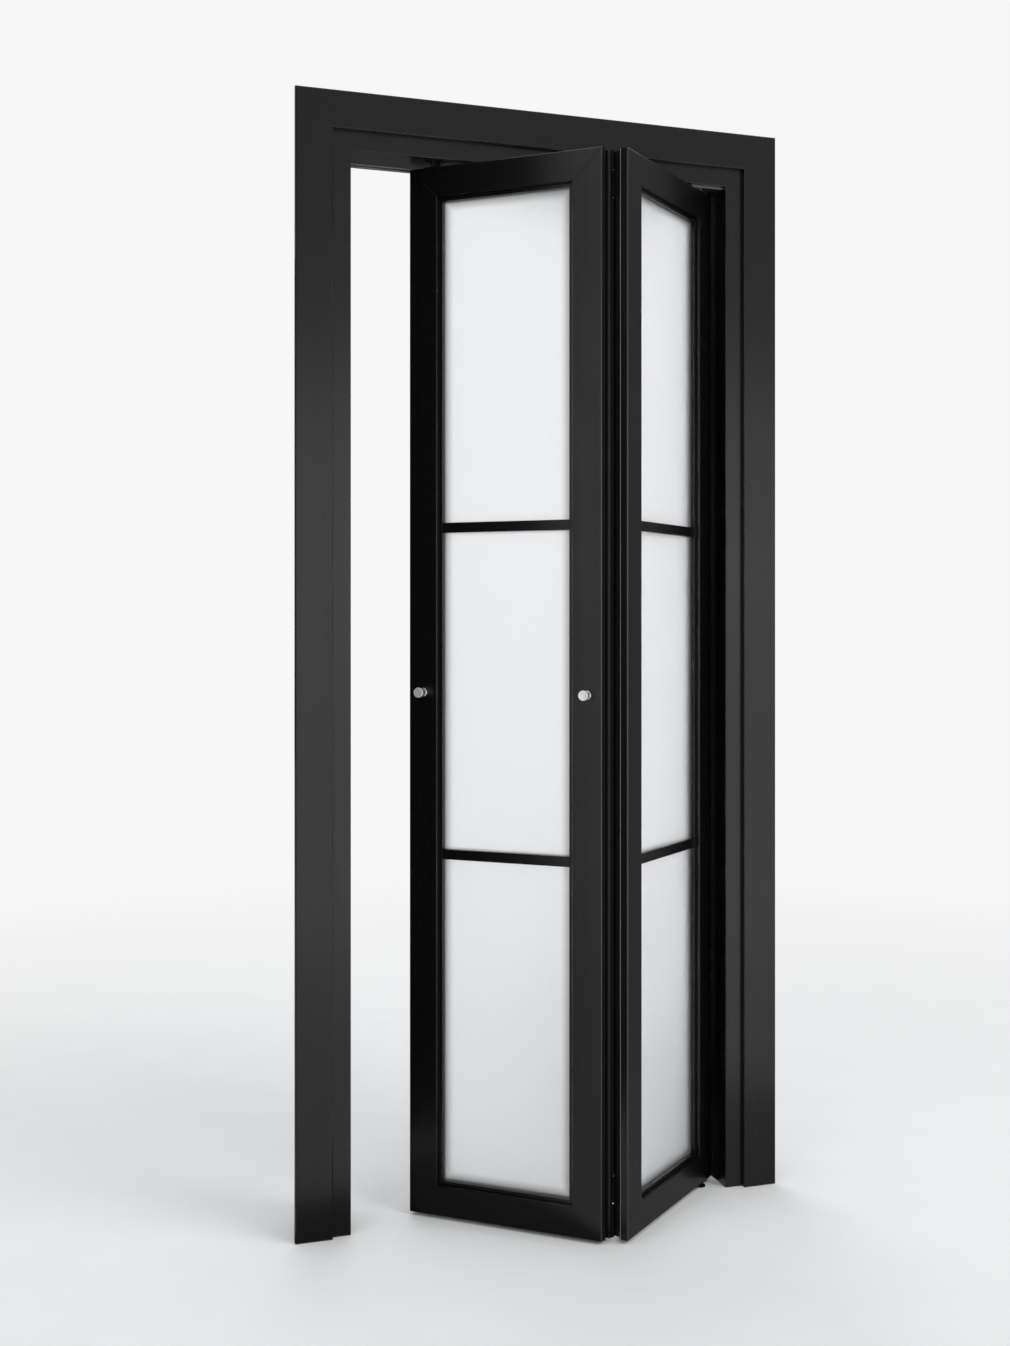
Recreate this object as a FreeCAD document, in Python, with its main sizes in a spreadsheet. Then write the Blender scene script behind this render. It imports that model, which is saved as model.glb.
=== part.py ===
import FreeCAD
import Part
import Sketcher
import os
import re

# A two-leaf glazed folding door in its lining, standing half folded.
#
# Millimetres. X runs to the right along the wall, Y away from the room and Z up.
# The origin is at floor level on the outer face of the left jamb, with Y = 0 at
# the wall face that the architraves lie on.
#
# Each leaf is drawn in its own frame: x along the leaf from its left end, y from
# its front face to its back face, z from the floor. Its placement then turns it
# about the upright axes of the pivot and of the meeting hinges.

SIZES = {
    # Opening and jambs
    "clear_width": 800,
    "clear_height": 2100,
    "jamb_thickness": 50,
    "jamb_depth": 111,
    "arris": 1.5,
    # Architraves, with a tongue that slides into a groove in the jamb
    "architrave_width": 73,
    "architrave_thickness": 11,
    "architrave_overlap": 12.5,
    "tongue_thickness": 4,
    "tongue_depth": 10,
    "tongue_inset": 3.5,
    # Clearances
    "fit_gap": 0.3,
    "end_gap": 2,
    "meeting_gap": 3,
    "floor_gap": 7,
    "head_gap": 8,
    # Leaves
    "leaf_difference": 11,
    "leaf_thickness": 36,
    "leaf_setback": 20,
    "member_width": 60,
    "stop_width": 8,
    "stop_setback": 8,
    "glass_setback": 16,
    "glass_thickness": 4,
    "glass_edge_gap": 1,
    "bead_depth": 8,
    "bead_bevel": 3,
    # Glazing bars
    "bar_height": 20,
    "bar_arris": 1,
    # Rebated meeting edge
    "rebate_depth": 10,
    "lip_thickness": 20,
    "lip_bevel": 4,
    "tongue_clearance": 2,
    "seal_thickness": 2.7,
    "seal_front": 7,
    "seal_width": 12,
    "seal_bevel": 1.2,
    "back_seal_thickness": 4,
    "back_seal_setback": 27,
    "back_seal_width": 7.6,
    "back_seal_end_gap": 3,
    # Meeting hinges
    "hinge_length": 50,
    "hinge_plate": 1.2,
    "hinge_plate_depth": 13,
    "knuckle_radius": 4,
    "hinge_pin_radius": 1.7,
    "pin_head_radius": 3,
    "pin_head_height": 1.5,
    "upper_hinge_drop": 63,
    "lower_hinge_rise": 90,
    # Right leaf's pivots
    "fold_angle": 40.4,
    "pivot_inset": 45,
    "pivot_setback": 6,
    "pivot_plate_front": 1.5,
    "pivot_pin_radius": 4,
    "pivot_collar_radius": 7,
    "pivot_plate_length": 52,
    "pivot_plate_width": 18,
    "pivot_plate_thickness": 2.5,
    "socket_plate_width": 30,
    "socket_plate_thickness": 3,
    "floor_plate_radius": 11,
    "floor_plate_thickness": 2.5,
    # Head track and the left leaf's roller
    "track_back_margin": 4,
    "track_width": 24,
    "track_height": 20,
    "track_wall": 2,
    "track_slot": 9,
    "roller_inset": 40,
    "roller_arm_width": 26,
    "roller_arm_thickness": 3,
    "roller_arm_front": 5,
    "roller_arm_round": 9,
    "roller_stud_radius": 3,
    "roller_nut_radius": 6,
    "roller_nut_height": 4,
    "wheel_radius": 6.5,
    "wheel_width": 4.5,
    "axle_radius": 2,
    "wheel_spacing": 26,
    "carriage_length": 42,
    "carriage_width": 8,
    "carriage_height": 9,
    # Knobs
    "knob_height": 1040,
    "knob_radius": 10,
    "knob_waist_radius": 6,
    "knob_base_radius": 9,
    "knob_length": 25,
    "knob_base_thickness": 3,
    "knob_head_thickness": 7,
    "knob_round": 1.5,
}

DERIVED = {
    "frame_width": "clear_width + 2 * jamb_thickness",
    "frame_height": "clear_height + jamb_thickness",
    "architrave_outer": "architrave_width - architrave_overlap",
    "tongue_near": "architrave_overlap - tongue_inset",
    "tongue_far": "tongue_near - tongue_thickness",
    "right_leaf_width": "(clear_width - 2 * end_gap - meeting_gap - leaf_difference) / 2",
    "left_leaf_width": "right_leaf_width + leaf_difference",
    "leaf_top": "clear_height - head_gap",
    "leaf_height": "leaf_top - floor_gap",
    "member_reach": "member_width + stop_width",
    "glass_back": "glass_setback + glass_thickness",
    "bead_back": "glass_back + bead_depth",
    "daylight_bottom": "floor_gap + member_reach",
    "daylight_height": "leaf_height - 2 * member_reach",
    "left_axis_along": "left_leaf_width + rebate_depth + meeting_gap / 2",
    "right_axis_along": "rebate_depth - meeting_gap / 2",
    "pivot_along": "right_leaf_width - pivot_inset",
    "pivot_x": "jamb_thickness + clear_width - end_gap - pivot_inset",
    "pivot_y": "leaf_setback + pivot_setback",
    "right_leaf_x": "pivot_x - pivot_along * cos(fold_angle) + pivot_setback * sin(fold_angle)",
    "right_leaf_y": "pivot_y - pivot_along * sin(fold_angle) - pivot_setback * cos(fold_angle)",
    "axis_x": "right_leaf_x + right_axis_along * cos(fold_angle)"
              " - leaf_thickness * sin(fold_angle)",
    "axis_y": "right_leaf_y + right_axis_along * sin(fold_angle)"
              " + leaf_thickness * cos(fold_angle)",
    "track_setback": "jamb_depth - track_back_margin - track_width",
    "track_centre": "track_setback + track_width / 2",
    "roller_behind_front": "track_centre - leaf_setback",
    "roller_span": "left_axis_along - roller_inset",
    "roller_behind_axis": "roller_behind_front - leaf_thickness",
    "left_angle": "asin((track_centre - axis_y) / sqrt(roller_span ^ 2 + roller_behind_axis ^ 2))"
                  " - atan(roller_behind_axis / roller_span)",
    "left_leaf_x": "axis_x - left_axis_along * cos(left_angle) - leaf_thickness * sin(left_angle)",
    "left_leaf_y": "axis_y + left_axis_along * sin(left_angle) - leaf_thickness * cos(left_angle)",
    "roller_x": "axis_x - roller_span * cos(left_angle) + roller_behind_axis * sin(left_angle)",
    "upper_hinge_centre": "leaf_top - upper_hinge_drop",
    "lower_hinge_centre": "floor_gap + lower_hinge_rise",
}

CUT_MARGIN = 5
HINGE_KNUCKLES = 5
BAR_COUNT = 2
WRITING_FOLDER = "parts"

doc = FreeCAD.newDocument("folding_door")
sheet = doc.addObject("Spreadsheet::Sheet", "sizes")
for row, (alias, size) in enumerate(SIZES.items(), start=1):
    sheet.set(f"A{row}", alias)
    sheet.set(f"B{row}", str(size))
    sheet.setAlias(f"B{row}", alias)
doc.recompute()

sub_parts = []


# Expressions


def bound(text):
    """Write out each named size of an expression as a reference to the sheet."""

    def written(match):
        word = match.group(0)
        if word in DERIVED:
            return f"({bound(DERIVED[word])})"
        if word in SIZES:
            return f"sizes.{word}"
        return word

    return re.sub(r"[a-z_]+", written, str(text))


def number(text):
    """Return the present value of an expression."""
    result = sheet.evalExpression(bound(text))
    return float(getattr(result, "Value", result))


# Sketches and features


def keep(sub_part, label):
    """Name a sub-part and put it on the list of those that are written."""
    sub_part.Label = label
    sub_parts.append(sub_part)
    return sub_part


def place(sub_part, along, across, turn="0"):
    """Bind a sub-part's placement: its origin in plan and its turn about Z."""
    upright = FreeCAD.Rotation(FreeCAD.Vector(0, 0, 1), 1)
    sub_part.Placement = FreeCAD.Placement(FreeCAD.Vector(), upright)
    sub_part.setExpression(".Placement.Base.x", bound(along))
    sub_part.setExpression(".Placement.Base.y", bound(across))
    sub_part.setExpression(".Placement.Rotation.Angle", bound(turn))


def new_body(label):
    """Start a body that is written under its label."""
    return keep(doc.addObject("PartDesign::Body", label), label)


def new_sketch(body, role, offset="0"):
    """Attach a sketch to one of the body's own planes, moved along its normal."""
    sketch = body.newObject("Sketcher::SketchObject", f"{body.Label}_{role}")
    plane = next(feature for feature in body.Origin.OriginFeatures if feature.Role == role)
    sketch.AttachmentSupport = [(plane, "")]
    sketch.MapMode = "FlatFace"
    sketch.setExpression(".AttachmentOffset.Base.z", bound(offset))
    return sketch


def fix_point(sketch, geometry, point, across, up):
    """Tie a point of the sketch to expressions for both of its coordinates."""
    for kind, text in (("DistanceX", across), ("DistanceY", up)):
        constraint = Sketcher.Constraint(kind, -1, 1, geometry, point, number(text))
        index = sketch.addConstraint(constraint)
        sketch.setExpression(f"Constraints[{index}]", bound(text))


def draw_outline(sketch, corners):
    """Draw a closed outline through corners given as pairs of expressions."""
    first = sketch.GeometryCount
    places = [FreeCAD.Vector(number(across), number(up), 0) for across, up in corners]
    following = places[1:] + places[:1]
    for start, end in zip(places, following):
        sketch.addGeometry(Part.LineSegment(start, end), False)
    for index in range(len(corners)):
        following_line = first + (index + 1) % len(corners)
        sketch.addConstraint(Sketcher.Constraint("Coincident", first + index, 2, following_line, 1))
    for index, (across, up) in enumerate(corners):
        fix_point(sketch, first + index, 1, across, up)


def draw_circle(sketch, across, up, radius):
    """Draw a circle with its centre and radius bound to expressions."""
    centre = FreeCAD.Vector(number(across), number(up), 0)
    upwards = FreeCAD.Vector(0, 0, 1)
    circle = sketch.addGeometry(Part.Circle(centre, upwards, number(radius)), False)
    fix_point(sketch, circle, 3, across, up)
    index = sketch.addConstraint(Sketcher.Constraint("Radius", circle, number(radius)))
    sketch.setExpression(f"Constraints[{index}]", bound(radius))


def pad(body, sketch, length):
    """Extrude a sketch along its normal."""
    feature = body.newObject("PartDesign::Pad", f"{body.Label}_pad")
    feature.Profile = sketch
    feature.setExpression("Length", bound(length))
    return feature


def cut_through(body, sketch):
    """Cut a sketch through the whole body, both ways from its plane."""
    feature = body.newObject("PartDesign::Pocket", f"{body.Label}_pocket")
    feature.Profile = sketch
    feature.Type = "ThroughAll"
    feature.SideType = "Symmetric"
    return feature


def rectangle(left, right, bottom, top):
    """Return the four corners between two bounds each way."""
    return [(left, bottom), (right, bottom), (right, top), (left, top)]


def edges_where(shape, test):
    """Name the edges of a shape whose bounding box passes a test."""
    return [f"Edge{index}" for index, edge in enumerate(shape.Edges, start=1) if test(edge.BoundBox)]


def near(first, second):
    """Tell whether two measures are the same place."""
    return abs(first - second) < 0.01


# Frame: jambs and architraves, mitred at the head


def across_side(side, outward):
    """Place a measure taken outward from the outer face of a jamb."""
    if side == "left":
        return f"-({outward})"
    if side == "right":
        return f"frame_width + ({outward})"
    return f"frame_height + ({outward})"


def mitre_line(side, inner, outer):
    """Return the two ends of the mitre at one upper corner, past the member's edges."""
    low = (across_side(side, f"{inner} - {CUT_MARGIN}"), f"frame_height + {inner} - {CUT_MARGIN}")
    high = (across_side(side, f"{outer} + {CUT_MARGIN}"), f"frame_height + {outer} + {CUT_MARGIN}")
    return low, high


def frame_member(label, side, section, inner, outer):
    """Extrude a section along one side of the frame and mitre it at the head."""
    body = new_body(label)
    if side == "head":
        sketch = new_sketch(body, "YZ_Plane", f"-({outer})")
        draw_outline(sketch, [(depth, across_side(side, outward)) for outward, depth in section])
        pad(body, sketch, f"frame_width + 2 * ({outer})")
        corners = ("left", "right")
    else:
        sketch = new_sketch(body, "XY_Plane")
        draw_outline(sketch, [(across_side(side, outward), depth) for outward, depth in section])
        pad(body, sketch, f"frame_height + {outer}")
        corners = (side,)
    mitre = new_sketch(body, "XZ_Plane")
    for corner in corners:
        low, high = mitre_line(corner, inner, outer)
        if side == "head":
            draw_outline(mitre, [low, high, (high[0], low[1])])
        else:
            draw_outline(mitre, [low, high, (low[0], high[1])])
    cut_through(body, mitre)


def architrave_section():
    """Return an architrave's section, with its tongue towards the jamb."""
    return [
        ("architrave_outer", "0"),
        ("architrave_outer", "arris - architrave_thickness"),
        ("architrave_outer - arris", "-architrave_thickness"),
        ("arris - architrave_overlap", "-architrave_thickness"),
        ("-architrave_overlap", "arris - architrave_thickness"),
        ("-architrave_overlap", "0"),
        ("-tongue_near", "0"),
        ("-tongue_near", "tongue_depth"),
        ("-tongue_far", "tongue_depth"),
        ("-tongue_far", "0"),
    ]


def jamb_section(with_track):
    """Return a jamb's section, grooved for the tongue and, at the head, the track."""
    groove_near = "-tongue_near - fit_gap"
    groove_far = "-tongue_far + fit_gap"
    groove_depth = "tongue_depth + fit_gap"
    front = [
        ("arris - jamb_thickness", "0"),
        (groove_near, "0"),
        (groove_near, groove_depth),
        (groove_far, groove_depth),
        (groove_far, "0"),
        ("0", "0"),
    ]
    back = [
        ("0", "jamb_depth - arris"),
        ("-arris", "jamb_depth"),
        ("arris - jamb_thickness", "jamb_depth"),
    ]
    opening_side = [("-jamb_thickness", "jamb_depth - arris")]
    if with_track:
        groove_top = "track_height - jamb_thickness"
        opening_side += [
            ("-jamb_thickness", "track_setback + track_width + fit_gap"),
            (groove_top, "track_setback + track_width + fit_gap"),
            (groove_top, "track_setback - fit_gap"),
            ("-jamb_thickness", "track_setback - fit_gap"),
        ]
    opening_side.append(("-jamb_thickness", "arris"))
    return front + back + opening_side


def build_frame():
    """Build the three jambs and the architraves on their front edges."""
    for side in ("left", "right", "head"):
        frame_member(f"{side}_jamb", side, jamb_section(side == "head"), "-jamb_thickness", "0")
        section = architrave_section()
        frame_member(f"{side}_architrave", side, section, "-architrave_overlap", "architrave_outer")


def build_track():
    """Build the channel let into the head, open below along its middle."""
    body = new_body("head_track")
    sketch = new_sketch(body, "YZ_Plane", "jamb_thickness + fit_gap")
    far = "track_setback + track_width"
    top = "clear_height + track_height"
    draw_outline(sketch, [
        ("track_setback", "clear_height"),
        ("track_centre - track_slot / 2", "clear_height"),
        ("track_centre - track_slot / 2", "clear_height + track_wall"),
        ("track_setback + track_wall", "clear_height + track_wall"),
        ("track_setback + track_wall", f"{top} - track_wall"),
        (f"{far} - track_wall", f"{top} - track_wall"),
        (f"{far} - track_wall", "clear_height + track_wall"),
        ("track_centre + track_slot / 2", "clear_height + track_wall"),
        ("track_centre + track_slot / 2", "clear_height"),
        (far, "clear_height"),
        (far, top),
        ("track_setback", top),
    ])
    pad(body, sketch, "clear_width - 2 * fit_gap")


# Leaves


def place_on_leaf(sub_part, leaf):
    """Turn a sub-part drawn in its leaf's frame into its place."""
    turn = "-(left_angle)" if leaf == "left" else "fold_angle"
    place(sub_part, f"{leaf}_leaf_x", f"{leaf}_leaf_y", turn)


def from_end(leaf, end, measure):
    """Place a measure taken inward from one end of a leaf."""
    if end == "left":
        return f"({measure})"
    return f"{leaf}_leaf_width - ({measure})"


def member_section(edge):
    """Return a stile's or rail's section, from its outer edge to the glazing stop."""
    inner_side = [
        ("arris", "0"),
        ("member_width - arris", "0"),
        ("member_width", "arris"),
        ("member_width", "stop_setback"),
        ("member_reach", "stop_setback"),
        ("member_reach", "glass_setback"),
        ("member_width", "glass_setback"),
        ("member_width", "leaf_thickness"),
    ]
    if edge == "tongue":
        shoulder = "lip_thickness + tongue_clearance"
        return inner_side + [
            ("-rebate_depth", "leaf_thickness"),
            ("-rebate_depth", shoulder),
            ("0", shoulder),
            ("0", "arris"),
        ]
    if edge == "lip":
        return inner_side + [
            ("rebate_depth", "leaf_thickness"),
            ("rebate_depth", "lip_thickness"),
            ("lip_bevel", "lip_thickness"),
            ("0", "lip_thickness - lip_bevel"),
            ("0", "arris"),
        ]
    return inner_side + [
        ("arris", "leaf_thickness"),
        ("0", "leaf_thickness - arris"),
        ("0", "arris"),
    ]


def level(edge, inward):
    """Place a measure taken inward from the top or the bottom of a leaf."""
    if edge == "top":
        return f"leaf_top - ({inward})"
    return f"floor_gap + ({inward})"


def corner_mitre(leaf, end, edge):
    """Return the outer and inner end of the mitre at one corner of a leaf."""
    outer = (from_end(leaf, end, -CUT_MARGIN), level(edge, -CUT_MARGIN))
    past_stop = f"member_reach + {CUT_MARGIN}"
    inner = (from_end(leaf, end, past_stop), level(edge, past_stop))
    return outer, inner


def let_in_knuckles(body, leaf):
    """Cut round hollows in the back corner of a meeting edge for the hinge knuckles."""
    for position in ("upper", "lower"):
        foot = f"{position}_hinge_centre - hinge_length / 2 - fit_gap"
        sketch = new_sketch(body, "XY_Plane", foot)
        draw_circle(sketch, f"{leaf}_axis_along", "leaf_thickness", "knuckle_radius + fit_gap")
        hollow = body.newObject("PartDesign::Pocket", f"{body.Label}_hollow")
        hollow.Profile = sketch
        hollow.Reversed = True
        hollow.setExpression("Length", bound("hinge_length + pin_head_height + 3 * fit_gap"))


def build_stile(leaf, end, edge):
    """Build one upright of a leaf, mitred at its top and bottom."""
    body = new_body(f"{leaf}_leaf_{end}_stile")
    sketch = new_sketch(body, "XY_Plane", "floor_gap")
    section = member_section(edge)
    draw_outline(sketch, [(from_end(leaf, end, inward), depth) for inward, depth in section])
    pad(body, sketch, "leaf_height")
    mitres = new_sketch(body, "XZ_Plane")
    for height in ("top", "bottom"):
        outer, inner = corner_mitre(leaf, end, height)
        draw_outline(mitres, [outer, inner, (inner[0], outer[1])])
    cut_through(body, mitres)
    if edge != "plain":
        let_in_knuckles(body, leaf)
    place_on_leaf(body, leaf)


def build_rail(leaf, edge):
    """Build the top or bottom rail of a leaf, mitred at both ends."""
    body = new_body(f"{leaf}_leaf_{edge}_rail")
    sketch = new_sketch(body, "YZ_Plane")
    section = member_section("plain")
    draw_outline(sketch, [(depth, level(edge, inward)) for inward, depth in section])
    pad(body, sketch, f"{leaf}_leaf_width")
    mitres = new_sketch(body, "XZ_Plane")
    for end in ("left", "right"):
        outer, inner = corner_mitre(leaf, end, edge)
        draw_outline(mitres, [outer, inner, (outer[0], inner[1])])
    cut_through(body, mitres)
    if leaf == "right":
        rebate = new_sketch(body, "XY_Plane")
        draw_outline(rebate, [
            (-CUT_MARGIN, f"lip_thickness - lip_bevel - {CUT_MARGIN}"),
            ("lip_bevel", "lip_thickness"),
            ("rebate_depth", "lip_thickness"),
            ("rebate_depth", f"leaf_thickness + {CUT_MARGIN}"),
            (-CUT_MARGIN, f"leaf_thickness + {CUT_MARGIN}"),
        ])
        cut_through(body, rebate)
    place_on_leaf(body, leaf)


def build_pane(leaf):
    """Build the sheet of glass, set behind the glazing stops."""
    body = new_body(f"{leaf}_leaf_glass")
    sketch = new_sketch(body, "XZ_Plane", "-(glass_back)")
    edge = "member_width + glass_edge_gap"
    left = from_end(leaf, "left", edge)
    right = from_end(leaf, "right", edge)
    draw_outline(sketch, rectangle(left, right, level("bottom", edge), level("top", edge)))
    pad(body, sketch, "glass_thickness")
    place_on_leaf(body, leaf)


def build_bead(leaf):
    """Build the ring of beads that holds the glass from behind."""
    body = new_body(f"{leaf}_leaf_back_bead")
    sketch = new_sketch(body, "XZ_Plane", "-(bead_back)")
    for edge in ("member_width + fit_gap", "member_reach"):
        left = from_end(leaf, "left", edge)
        right = from_end(leaf, "right", edge)
        draw_outline(sketch, rectangle(left, right, level("bottom", edge), level("top", edge)))
    ring = pad(body, sketch, "bead_depth")
    doc.recompute()
    outer_edge = number("member_width + fit_gap")
    back = number("bead_back")
    far_end = number(f"{leaf}_leaf_width") - outer_edge
    low = number(level("bottom", "member_width + fit_gap"))
    high = number(level("top", "member_width + fit_gap"))

    def sight_edge(box):
        at_back = near(box.YMin, back) and near(box.YMax, back)
        clear_of_ends = not (near(box.XMin, outer_edge) or near(box.XMax, far_end))
        clear_of_levels = not (near(box.ZMin, low) or near(box.ZMax, high))
        return at_back and clear_of_ends and clear_of_levels

    bevel = body.newObject("PartDesign::Chamfer", f"{body.Label}_bevel")
    bevel.Base = (ring, edges_where(ring.Shape, sight_edge))
    bevel.setExpression("Size", bound("bead_bevel"))
    place_on_leaf(body, leaf)


def build_bars(leaf, face):
    """Build the cross bars on one face of the glass, spaced evenly up the leaf."""
    body = new_body(f"{leaf}_leaf_{face}_bars")
    body.AllowCompound = True
    sketch = new_sketch(body, "YZ_Plane", "member_reach")
    if face == "front":
        against_glass = "glass_setback"
        outside = "stop_setback"
        inward = "+ bar_arris"
    else:
        against_glass = "glass_back"
        outside = "bead_back"
        inward = "- bar_arris"
    for bar in range(1, BAR_COUNT + 1):
        middle = f"daylight_bottom + daylight_height * {bar} / {BAR_COUNT + 1}"
        low = f"{middle} - bar_height / 2"
        high = f"{middle} + bar_height / 2"
        draw_outline(sketch, [
            (against_glass, low),
            (f"{outside} {inward}", low),
            (outside, f"{low} + bar_arris"),
            (outside, f"{high} - bar_arris"),
            (f"{outside} {inward}", high),
            (against_glass, high),
        ])
    pad(body, sketch, f"{leaf}_leaf_width - 2 * member_reach")
    place_on_leaf(body, leaf)


def build_seal():
    """Build the rubber strip in the rebate of the left leaf's meeting edge."""
    body = new_body("meeting_seal")
    sketch = new_sketch(body, "XY_Plane", "floor_gap")
    face = "left_leaf_width"
    crown = "left_leaf_width + seal_thickness"
    flank = f"{crown} - seal_bevel"
    far = "seal_front + seal_width"
    draw_outline(sketch, [
        (face, "seal_front"),
        (flank, "seal_front"),
        (crown, "seal_front + seal_bevel"),
        (crown, f"{far} - seal_bevel"),
        (flank, far),
        (face, far),
    ])
    pad(body, sketch, "leaf_height")
    place_on_leaf(body, "left")


def build_back_seal():
    """Build the strips on the end of the left leaf's tongue, which stop short of the hinges."""
    body = new_body("back_seal")
    body.AllowCompound = True
    sketch = new_sketch(body, "XZ_Plane", "-(back_seal_setback + back_seal_width)")
    near_face = "left_leaf_width + rebate_depth"
    crown = f"{near_face} + back_seal_thickness"
    reach = "(hinge_length / 2 + back_seal_end_gap)"
    for low, high in (
        ("floor_gap", f"lower_hinge_centre - {reach}"),
        (f"lower_hinge_centre + {reach}", f"upper_hinge_centre - {reach}"),
        (f"upper_hinge_centre + {reach}", "leaf_top"),
    ):
        draw_outline(sketch, rectangle(near_face, crown, low, high))
    pad(body, sketch, "back_seal_width")
    place_on_leaf(body, "left")


def build_leaves():
    """Build both leaves, with a tongue on the left one and a lip on the right one."""
    meeting_edges = {("left", "right"): "tongue", ("right", "left"): "lip"}
    for leaf in ("left", "right"):
        for end in ("left", "right"):
            build_stile(leaf, end, meeting_edges.get((leaf, end), "plain"))
        for edge in ("top", "bottom"):
            build_rail(leaf, edge)
        build_pane(leaf)
        build_bead(leaf)
        for face in ("front", "back"):
            build_bars(leaf, face)
    build_seal()
    build_back_seal()


# Ironmongery


def new_box(name, corner, size):
    """Make a box from expressions for its lowest corner and its three sizes."""
    box = doc.addObject("Part::Box", name)
    for axis, text in zip("xyz", corner):
        box.setExpression(f".Placement.Base.{axis}", bound(text))
    for measure, text in zip(("Length", "Width", "Height"), size):
        box.setExpression(measure, bound(text))
    return box


def new_cylinder(name, foot, radius, height):
    """Make an upright cylinder from expressions for its foot, radius and height."""
    cylinder = doc.addObject("Part::Cylinder", name)
    for axis, text in zip("xyz", foot):
        cylinder.setExpression(f".Placement.Base.{axis}", bound(text))
    cylinder.setExpression("Radius", bound(radius))
    cylinder.setExpression("Height", bound(height))
    return cylinder


def fuse(name, solids):
    """Join solids into one."""
    joined = doc.addObject("Part::MultiFuse", name)
    joined.Shapes = solids
    return joined


def cut(name, base, tool):
    """Take one solid out of another."""
    rest = doc.addObject("Part::Cut", name)
    rest.Base = base
    rest.Tool = tool
    return rest


def build_hinge_half(leaf, position):
    """Build one flap of a meeting hinge, with its share of the knuckles."""
    name = f"{position}_hinge_{leaf}_flap"
    bottom = f"{position}_hinge_centre - hinge_length / 2"
    pitch = f"hinge_length / {HINGE_KNUCKLES}"
    axis_along = f"{leaf}_axis_along"
    if leaf == "left":
        plate_start = "left_leaf_width + rebate_depth"
        own_knuckles = range(0, HINGE_KNUCKLES, 2)
    else:
        plate_start = "rebate_depth - hinge_plate"
        own_knuckles = range(1, HINGE_KNUCKLES, 2)
    plate_corner = (plate_start, "leaf_thickness - hinge_plate_depth", bottom)
    plate_size = ("hinge_plate", "hinge_plate_depth - knuckle_radius - fit_gap", "hinge_length")
    solids = [new_box(f"{name}_plate", plate_corner, plate_size)]
    for knuckle in own_knuckles:
        foot = f"{bottom} + {pitch} * {knuckle} + fit_gap / 2"
        height = f"{pitch} - fit_gap"
        centre = (axis_along, "leaf_thickness", foot)
        solids.append(new_cylinder(f"{name}_knuckle", centre, "knuckle_radius", height))
        web_corner = (plate_start, "leaf_thickness - knuckle_radius - fit_gap", foot)
        web_size = ("hinge_plate", "knuckle_radius + fit_gap", height)
        solids.append(new_box(f"{name}_web", web_corner, web_size))
    bore_foot = (axis_along, "leaf_thickness", f"{bottom} - {CUT_MARGIN}")
    bore_height = f"hinge_length + 2 * {CUT_MARGIN}"
    bore = new_cylinder(f"{name}_bore", bore_foot, "hinge_pin_radius + fit_gap", bore_height)
    flap = keep(cut(name, fuse(f"{name}_solid", solids), bore), name)
    place_on_leaf(flap, leaf)


def build_hinge_pins():
    """Build the pins of both hinges, each with a head above the top knuckle."""
    solids = []
    for position in ("upper", "lower"):
        bottom = f"{position}_hinge_centre - hinge_length / 2"
        shank = new_cylinder(
            f"{position}_pin_shank", ("0", "0", bottom), "hinge_pin_radius", "hinge_length + fit_gap"
        )
        head_foot = ("0", "0", f"{bottom} + hinge_length + fit_gap / 2")
        head = new_cylinder(f"{position}_pin_head", head_foot, "pin_head_radius", "pin_head_height")
        solids += [shank, head]
    pins = keep(fuse("hinge_pins", solids), "hinge_pins")
    place(pins, "axis_x", "axis_y")


def build_pivots():
    """Build the right leaf's pivot plates and the plates that they turn in."""
    plate_start = "pivot_along - pivot_plate_length / 2"
    plate_size = ("pivot_plate_length", "pivot_plate_width", "pivot_plate_thickness")
    centre = ("pivot_along", "pivot_setback")

    top_plate = new_box("top_plate", (plate_start, "pivot_plate_front", "leaf_top"), plate_size)
    top_pin = new_cylinder(
        "top_pin", (*centre, "leaf_top"), "pivot_pin_radius", "head_gap - fit_gap"
    )
    top_pivot = keep(fuse("top_pivot", [top_plate, top_pin]), "top_pivot")
    place_on_leaf(top_pivot, "right")

    low_plate_foot = "floor_gap - pivot_plate_thickness"
    low_plate = new_box("low_plate", (plate_start, "pivot_plate_front", low_plate_foot), plate_size)
    collar_foot = "floor_plate_thickness + fit_gap"
    collar_height = f"{low_plate_foot} - floor_plate_thickness - fit_gap"
    collar = new_cylinder("low_collar", (*centre, collar_foot), "pivot_collar_radius", collar_height)
    low_pin = new_cylinder(
        "low_pin", (*centre, "fit_gap"), "pivot_pin_radius", f"{low_plate_foot} - fit_gap"
    )
    bottom_pivot = keep(fuse("bottom_pivot", [low_plate, collar, low_pin]), "bottom_pivot")
    place_on_leaf(bottom_pivot, "right")

    build_socket_plate()
    build_floor_plate()


def build_socket_plate():
    """Build the plate under the head that the top pivot turns in, reaching to the right jamb."""
    body = new_body("top_pivot_socket")
    sketch = new_sketch(body, "XY_Plane", "clear_height - socket_plate_thickness")
    near_end = "pivot_x - pivot_plate_length / 2"
    half_width = "socket_plate_width / 2"
    outline = rectangle(
        near_end,
        "jamb_thickness + clear_width",
        f"pivot_y - {half_width}",
        f"pivot_y + {half_width}",
    )
    draw_outline(sketch, outline)
    draw_circle(sketch, "pivot_x", "pivot_y", "pivot_pin_radius + fit_gap")
    pad(body, sketch, "socket_plate_thickness")


def build_floor_plate():
    """Build the round plate on the floor that the bottom pivot turns in."""
    body = new_body("floor_pivot_plate")
    sketch = new_sketch(body, "XY_Plane")
    for radius in ("floor_plate_radius", "pivot_pin_radius + fit_gap"):
        draw_circle(sketch, "pivot_x", "pivot_y", radius)
    pad(body, sketch, "floor_plate_thickness")


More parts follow.
